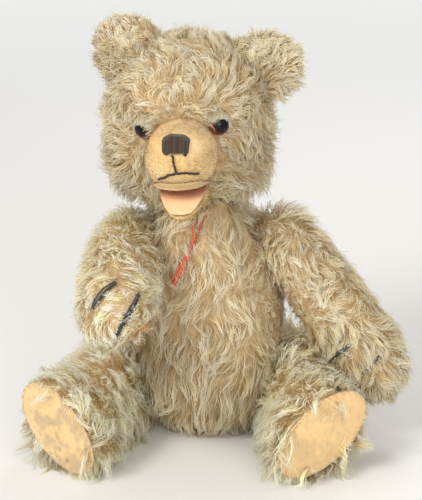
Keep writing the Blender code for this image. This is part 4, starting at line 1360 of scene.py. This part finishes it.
def add_claws(rng, material, fuzz):
    """Claws of three twisted threads side by side, worn and frayed."""
    made = [(f"claw_stitch_{side}_{k}", "arm_" + side) for side in (LEFT, RIGHT) for k in (1, 2)]
    made.append(("toe_stitch_left_1", "leg_left"))
    for name, body in made:
        line = node_line(name)
        out = unit(line.mean(axis=0) - middle(body.replace("_", "_cover_")))
        along = unit(line[-1] - line[0])
        across = np.cross(along, out)
        threads = Threads()
        bow = np.sin(np.linspace(0.0, math.pi, len(line)))[:, None]
        for k in (-1, 0, 1):
            shift = across * k * 0.80 * MM + out * (0.7 * MM - abs(k) * 0.3 * MM)
            bend = rng.normal(size=3) * 0.5 * MM + across * CLAW_BOW * (-1 if name.endswith("1") else 1)
            threads.twisted(smooth_route(line + shift + bend * bow, 0.8 * MM), 0.72 * MM,
                            CLAW_GREY * rng.uniform(0.7, 1.5), pitch=3.4 * MM)
        piece = threads.show(name + "_twist", material, body, "black_thread")
        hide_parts(name)
        at = rng.integers(0, len(line), CLAW_FIBRES)
        roots = line[at] + rng.normal(size=(CLAW_FIBRES, 3)) * 0.5 * MM + out * 0.4 * MM
        aims = along * rng.choice([-1.0, 1.0], CLAW_FIBRES)[:, None] + out * 0.35
        paths = fibres(rng, roots, aims, rng.uniform(1.5, 4.5, CLAW_FIBRES) * MM, 0.35, 0.5)
        grey = CLAW_GREY * rng.uniform(0.8, 2.6, (CLAW_FIBRES, 1))
        add_fray(rng, name + "_fray", paths, out, 0.22 * MM, [grey, grey, grey * 1.3], body,
                 fuzz)


# ---------------------------------------------------------------- felt soles and palm pads

# greying is how grey a pad's blotches of dirt make it, flat the size it is cut to in metres, and nap its
# number of short fibres.
# creases are lines pressed in it, from one place to another in shares of its half length and half
# width, and rust its spots, each a place and a size in millimetres.
PadLook = namedtuple("PadLook", "dirt base flat nap creases rust", defaults=[(), ()])
PALM = PadLook(0.30, FELT_ORANGE, (0.036, 0.024), 900)
PADS = {
    "sole_left": PadLook(0.40, FELT_PEACH, (0.074, 0.044), 4200, [((0.42, -0.30), (0.50, 0.45))],
                         [((-0.62, -0.45), 2.2)]),
    "sole_right": PadLook(0.85, FELT_PEACH, (0.074, 0.044), 4200, rust=[((-0.55, 0.4), 1.6)]),
    "palm_pad_left": PALM,
    "palm_pad_right": PALM,
}
PAD_RINGS, PAD_SPOKES = 24, 84
PAD_LAST = 0.985            # the last share of the way out at which a pad's own surface is sure to be hit

# Past a pad's front: share of the way out, and millimetres behind the front
PAD_EDGE = ((1.0, -0.35), (1.0, -1.2), (0.9, -1.3))


class Pad:
    """Where a flat CAD pad's front surface is, and its outline seen square on."""

    def __init__(self, name, start):
        self.centre, self.normal, axis = flat_frame(name, middle(start))
        self.long = axis * (1.0 if axis[2] >= 0.0 else -1.0)
        self.short = np.cross(self.normal, self.long)
        self.tree = cad_tree(name)
        self.ways = [turned_to(angle, self.long, self.short)
                     for angle in np.linspace(0.0, 2 * math.pi, PAD_SPOKES, endpoint=False)]
        self.reach = np.array([self.edge(way) for way in self.ways])

    def hit(self, place):
        aim = Vector(self.centre + place + self.normal * 30 * MM)
        return self.tree.ray_cast(aim, Vector(-self.normal))[0]

    def edge(self, way):
        """How far the pad reaches that way, found by halving."""
        near, far = 0.0, 60 * MM
        for _ in range(14):
            half = (near + far) / 2
            near, far = (half, far) if self.hit(way * half) else (near, half)
        return near

    def point(self, spoke, share, lift=0.0):
        """A point on the pad's front at a share of the way out along a spoke, lifted in millimetres."""
        place = self.ways[spoke % PAD_SPOKES] * self.reach[spoke % PAD_SPOKES]
        hit = np.array(self.hit(place * min(share, PAD_LAST)))
        return hit + place * max(share - PAD_LAST, 0.0) + self.normal * lift * MM

    def shares(self, points):
        """Where points are, in shares of the pad's half length and half width."""
        gap = points - self.centre
        return gap.dot(self.long) / self.reach[0], gap.dot(self.short) / self.reach[PAD_SPOKES // 4]


def pad_bmesh(pad, look):
    """The felt: its front in rings, a soft edge and a flat back, with its creases pressed in."""
    levels = [((i + 1) / PAD_RINGS * 0.975, 0.0) for i in range(PAD_RINGS)] + list(PAD_EDGE)
    rings = [[pad.point(k, share, lift) for k in range(PAD_SPOKES)] for share, lift in levels]
    bm = ringed_form(pad.hit(np.zeros(3)), rings)
    bmesh.ops.triangulate(bm, faces=bm.faces)
    bmesh.ops.recalc_face_normals(bm, faces=bm.faces)
    points = np.array([v.co for v in bm.verts])
    press = crease_depth(pad, look, points) * 0.9 * MM + 0.35 * MM * noise_at(points, 13 * MM, 33)
    for vert, depth in zip(bm.verts, press):
        vert.co -= Vector(pad.normal) * depth
    bm.normal_update()
    return bm


def crease_depth(pad, look, points):
    """1 along a crease, falling to 0 beside it."""
    places = np.stack(pad.shares(points), axis=1)
    depth = np.zeros(len(points))
    for start, end in np.array(look.creases):
        t = np.clip((places - start).dot(end - start) / (end - start).dot(end - start), 0, 1)
        gap = np.linalg.norm(places - start - t[:, None] * (end - start), axis=1)
        depth = np.maximum(depth, np.exp(-(gap / 0.055) ** 2) * np.sin(math.pi * np.clip(t, 0.05, 0.95)))
    return depth


def pad_colours(pad, look, points):
    """Felt with blotches of grey dirt, greyer low down and at the rim, painted shade along its creases, and
    rust spots.
    """
    u, v = pad.shares(points)
    rim = smoothstep((np.hypot(u, v) - 0.78) / 0.25)
    blotch = 1.3 * noise_at(points, 12 * MM, 41) + 0.9 * noise_at(points, 4 * MM, 42)
    dirt = look.dirt * smoothstep(0.38 + blotch - 0.25 * u) * 0.62
    dirt = np.maximum(dirt, 0.42 * rim * smoothstep(0.5 + noise_at(points, 9 * MM, 43) - 0.5 * u))
    # Painted shade: the felt is greyed along its creases
    dirt = np.maximum(dirt, 0.5 * crease_depth(pad, look, points))[:, None]
    tone = 1 + 0.06 * noise_at(points, 2.5 * MM, 44)[:, None]
    colour = mixed(look.base * tone, DIRT_AND_SHADE_GREY, dirt)
    for (spot_u, spot_v), size in look.rust:
        gap = np.hypot((u - spot_u) * pad.reach[0], (v - spot_v) * pad.reach[PAD_SPOKES // 4])
        colour = mixed(colour, PILE_RUST, smoothstep(1.3 - gap / (size * MM))[:, None] * 0.8)
    return toned(colour)


def add_pad(rng, name, start, body, felt, fuzz, thread):
    """A felt pad with its nap and the stitches round its edge."""
    look, pad = PADS[name], Pad(name, start)
    colours, bm = partial(pad_colours, pad, look), pad_bmesh(pad, look)
    piece = soft_piece(name + "_felt", bm, colours, felt, body)
    nap = add_fuzz(name + "_nap", bm, look.nap, 0.8 * MM, colours, body, fuzz, seed=len(name))
    bm.free()
    stitches = Threads()
    for k in range(0, PAD_SPOKES, 2):
        inner = 0.93 - 0.02 * rng.random()
        route = [pad.point(k, inner, -0.3), pad.point(k, inner + 0.02, 0.25), pad.point(k + 1, 0.99, 0.15),
                 pad.point(k + 1, 1.01, -0.9)]
        stitches.tube(route, 0.22 * MM, look.base * rng.uniform(0.6, 0.85), 5)
    seam = stitches.show(name + "_seam", thread, body, "pad_felt")
    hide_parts(name)


# ---------------------------------------------------------------- red thread

# Routes on the chest, millimetres across and up: the thread as in the CAD, and the strand beside it
THREAD_ROUTE = [(3.0, 153.5), (0.0, 148.0), (-3.0, 142.0), (-4.5, 135.0), (-9.0, 126.0)]
LOOP_ROUTE = [(0.0, 148.0), (-3.8, 145.8), (-6.6, 142.0), (-6.2, 137.0), (-6.9, 132.0), (-8.2, 128.2)]
KNOT_TURNS, TASSEL_STRANDS, TASSEL_FIBRES = 4, 44, 130
TASSEL_TIP = (-18.5, 106.0)
THREAD_RADIUS, THREAD_LIFT = 1.0 * MM, 0.8 * MM
THREAD_RED = np.array([0.500, 0.090, 0.045])
TASSEL_RED = np.array([0.720, 0.200, 0.100])


def on_chest(places, lift):
    """Points lifted off the chest at places across and up, in millimetres."""
    tree = cad_tree("torso_cover")
    found = [tree.ray_cast(Vector((x, -200.0, z)) * MM, BACKWARDS)[:2] for x, z in places]
    return np.array([hit + normal * lift for hit, normal in found])


def add_knot(rng, route, knot_at, material):
    """The strand beside the thread, the turns of the knot and the thread's end in it."""
    knot = Threads()
    knot.twisted(smooth_route(on_chest(LOOP_ROUTE, 3.0 * MM), 0.8 * MM), 0.75 * MM, THREAD_RED * 1.3,
                 pitch=3.0 * MM)
    angles = np.linspace(0.0, 2 * math.pi, 22)[:, None]
    for turn in range(KNOT_TURNS):
        across, up = route_frame(np.array([knot_at, knot_at + rng.normal(size=3)]))
        ring = turned_to(angles, across[0], up[0]) * (1.55 - 0.12 * turn) * MM
        knot.tube(knot_at + ring, 0.62 * MM, THREAD_RED * rng.uniform(0.9, 1.5))
    end = smooth_route([route[-1], (route[-1] + knot_at) / 2, knot_at], 0.8 * MM)
    knot.twisted(end, 0.9 * MM, THREAD_RED)
    return knot.show("red_knot_wound", material, "torso", "red_thread")


def add_tassel(rng, knot_at, tip, material):
    """Thin strands that leave the knot at one point and spread, fast at first and then slowly."""
    tassel = Threads()
    across, up = route_frame(np.array([knot_at, tip]))
    for _ in range(TASSEL_STRANDS):
        spread = turned_to(rng.random() * 2 * math.pi, across[0], up[0]) * math.sqrt(rng.random()) * 1.9 * MM
        end = knot_at + (tip - knot_at) * rng.uniform(0.75, 1.0)
        waist = knot_at * 0.55 + end * 0.45 + spread + rng.normal(size=3) * 0.25 * MM
        line = smooth_route([knot_at, waist, end + spread * 1.25], 1.6 * MM)
        tassel.tube(line, 0.28 * MM, TASSEL_RED * rng.uniform(0.7, 1.35), 4)
    return tassel.show("red_tassel_strands", material, "torso", "red_thread")


def add_tassel_fray(rng, knot_at, tip, material):
    share = rng.uniform(0.15, 1.0, (TASSEL_FIBRES, 1))
    roots = mixed(knot_at, tip, share) + rng.normal(size=(TASSEL_FIBRES, 3)) * 0.8 * MM
    aims = np.tile(unit(tip - knot_at), (TASSEL_FIBRES, 1))
    paths = fibres(rng, roots, aims, rng.uniform(2, 6, TASSEL_FIBRES) * MM, 0.45, 0.5)
    red = TASSEL_RED * rng.uniform(0.8, 1.5, (TASSEL_FIBRES, 1))
    return add_fray(rng, "red_tassel_fray", paths, [0.0, -1.0, 0.0], 0.2 * MM, [red, red, red], "torso",
                    material)


def add_red_thread(rng, material, fuzz):
    route = smooth_route(on_chest(THREAD_ROUTE, THREAD_RADIUS + THREAD_LIFT), 0.8 * MM)
    thread = Threads()
    thread.twisted(route, THREAD_RADIUS, THREAD_RED, pitch=4.2 * MM)
    cord = thread.show("red_thread_twist", material, "torso", "red_thread")
    knot_at, tip = middle("red_knot"), on_chest([TASSEL_TIP], 2.4 * MM)[0]
    knot = add_knot(rng, route, knot_at, material)
    tassel = add_tassel(rng, knot_at, tip, material)
    fray = add_tassel_fray(rng, knot_at, tip, fuzz)
    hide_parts("red_thread")
    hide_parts("red_knot")
    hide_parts("red_tassel")


# ---------------------------------------------------------------- hidden pieces

# Colour, roughness and metallic
HIDDEN = {"stuffing": ((0.42, 0.29, 0.13), 0.95, 0.0), "disc": ((0.20, 0.12, 0.06), 0.85, 0.0),
          "pin": ((0.45, 0.45, 0.46), 0.35, 1.0)}


def finish_hidden_nodes():
    """Wood wool, hardboard and steel for what the covers hide."""
    for kind, (colour, rough, metal) in HIDDEN.items():
        material, nodes, shader = new_material("hidden_" + kind)
        put(shader, {"Base Color": (*colour, 1.0), "Roughness": rough, "Metallic": metal,
                     "Normal": fibre_bump(nodes, 420.0, 3.0, 0.5, 0.3 * MM)})
        for name, obj in frame["nodes"].items():
            if name.endswith(kind) or "_" + kind + "_" in name:
                for slot in obj.material_slots:
                    slot.material = material


def main():
    add_camera()
    add_stage()
    rng = np.random.default_rng(7)
    thread = painted_material("thread", 0.7, 0.25, 0.2, 2600.0, 0.12 * MM)
    felt = painted_material("felt", 0.95, 0.5, 0.4, 1500.0, 0.22 * MM)
    cloth = painted_material("clipped_plush", 0.9, 0.5, 0.4, 1300.0, 0.3 * MM, ribbed=True)
    glass = painted_material("glass", 0.04, 0.0, 0.22)
    fuzz = fur_material("short_fibres", 0.35)
    backing = backing_material("backing_shade", *BACKING_SHADE)
    pile = fur_material("mohair_pile")
    add_red_thread(rng, thread, fuzz)
    made = grounds()
    for number, region in enumerate(PELTS):
        add_pelt(number, region, made[region], pile, backing)
    add_muzzle(cloth, fuzz)
    add_lining(felt, fuzz)
    for side in (LEFT, RIGHT):
        add_eye(side, glass)
        add_eye_pile(rng, side, pile)
        add_pad(rng, "sole_" + side, f"hip_{side}_pin", "leg_" + side, felt, fuzz, thread)
        add_pad(rng, "palm_pad_" + side, f"shoulder_{side}_pin", "arm_" + side, felt, fuzz, thread)
    add_nose(rng, thread)
    add_face_stitches(rng, thread)
    add_claws(rng, thread, fuzz)
    finish_hidden_nodes()


main()
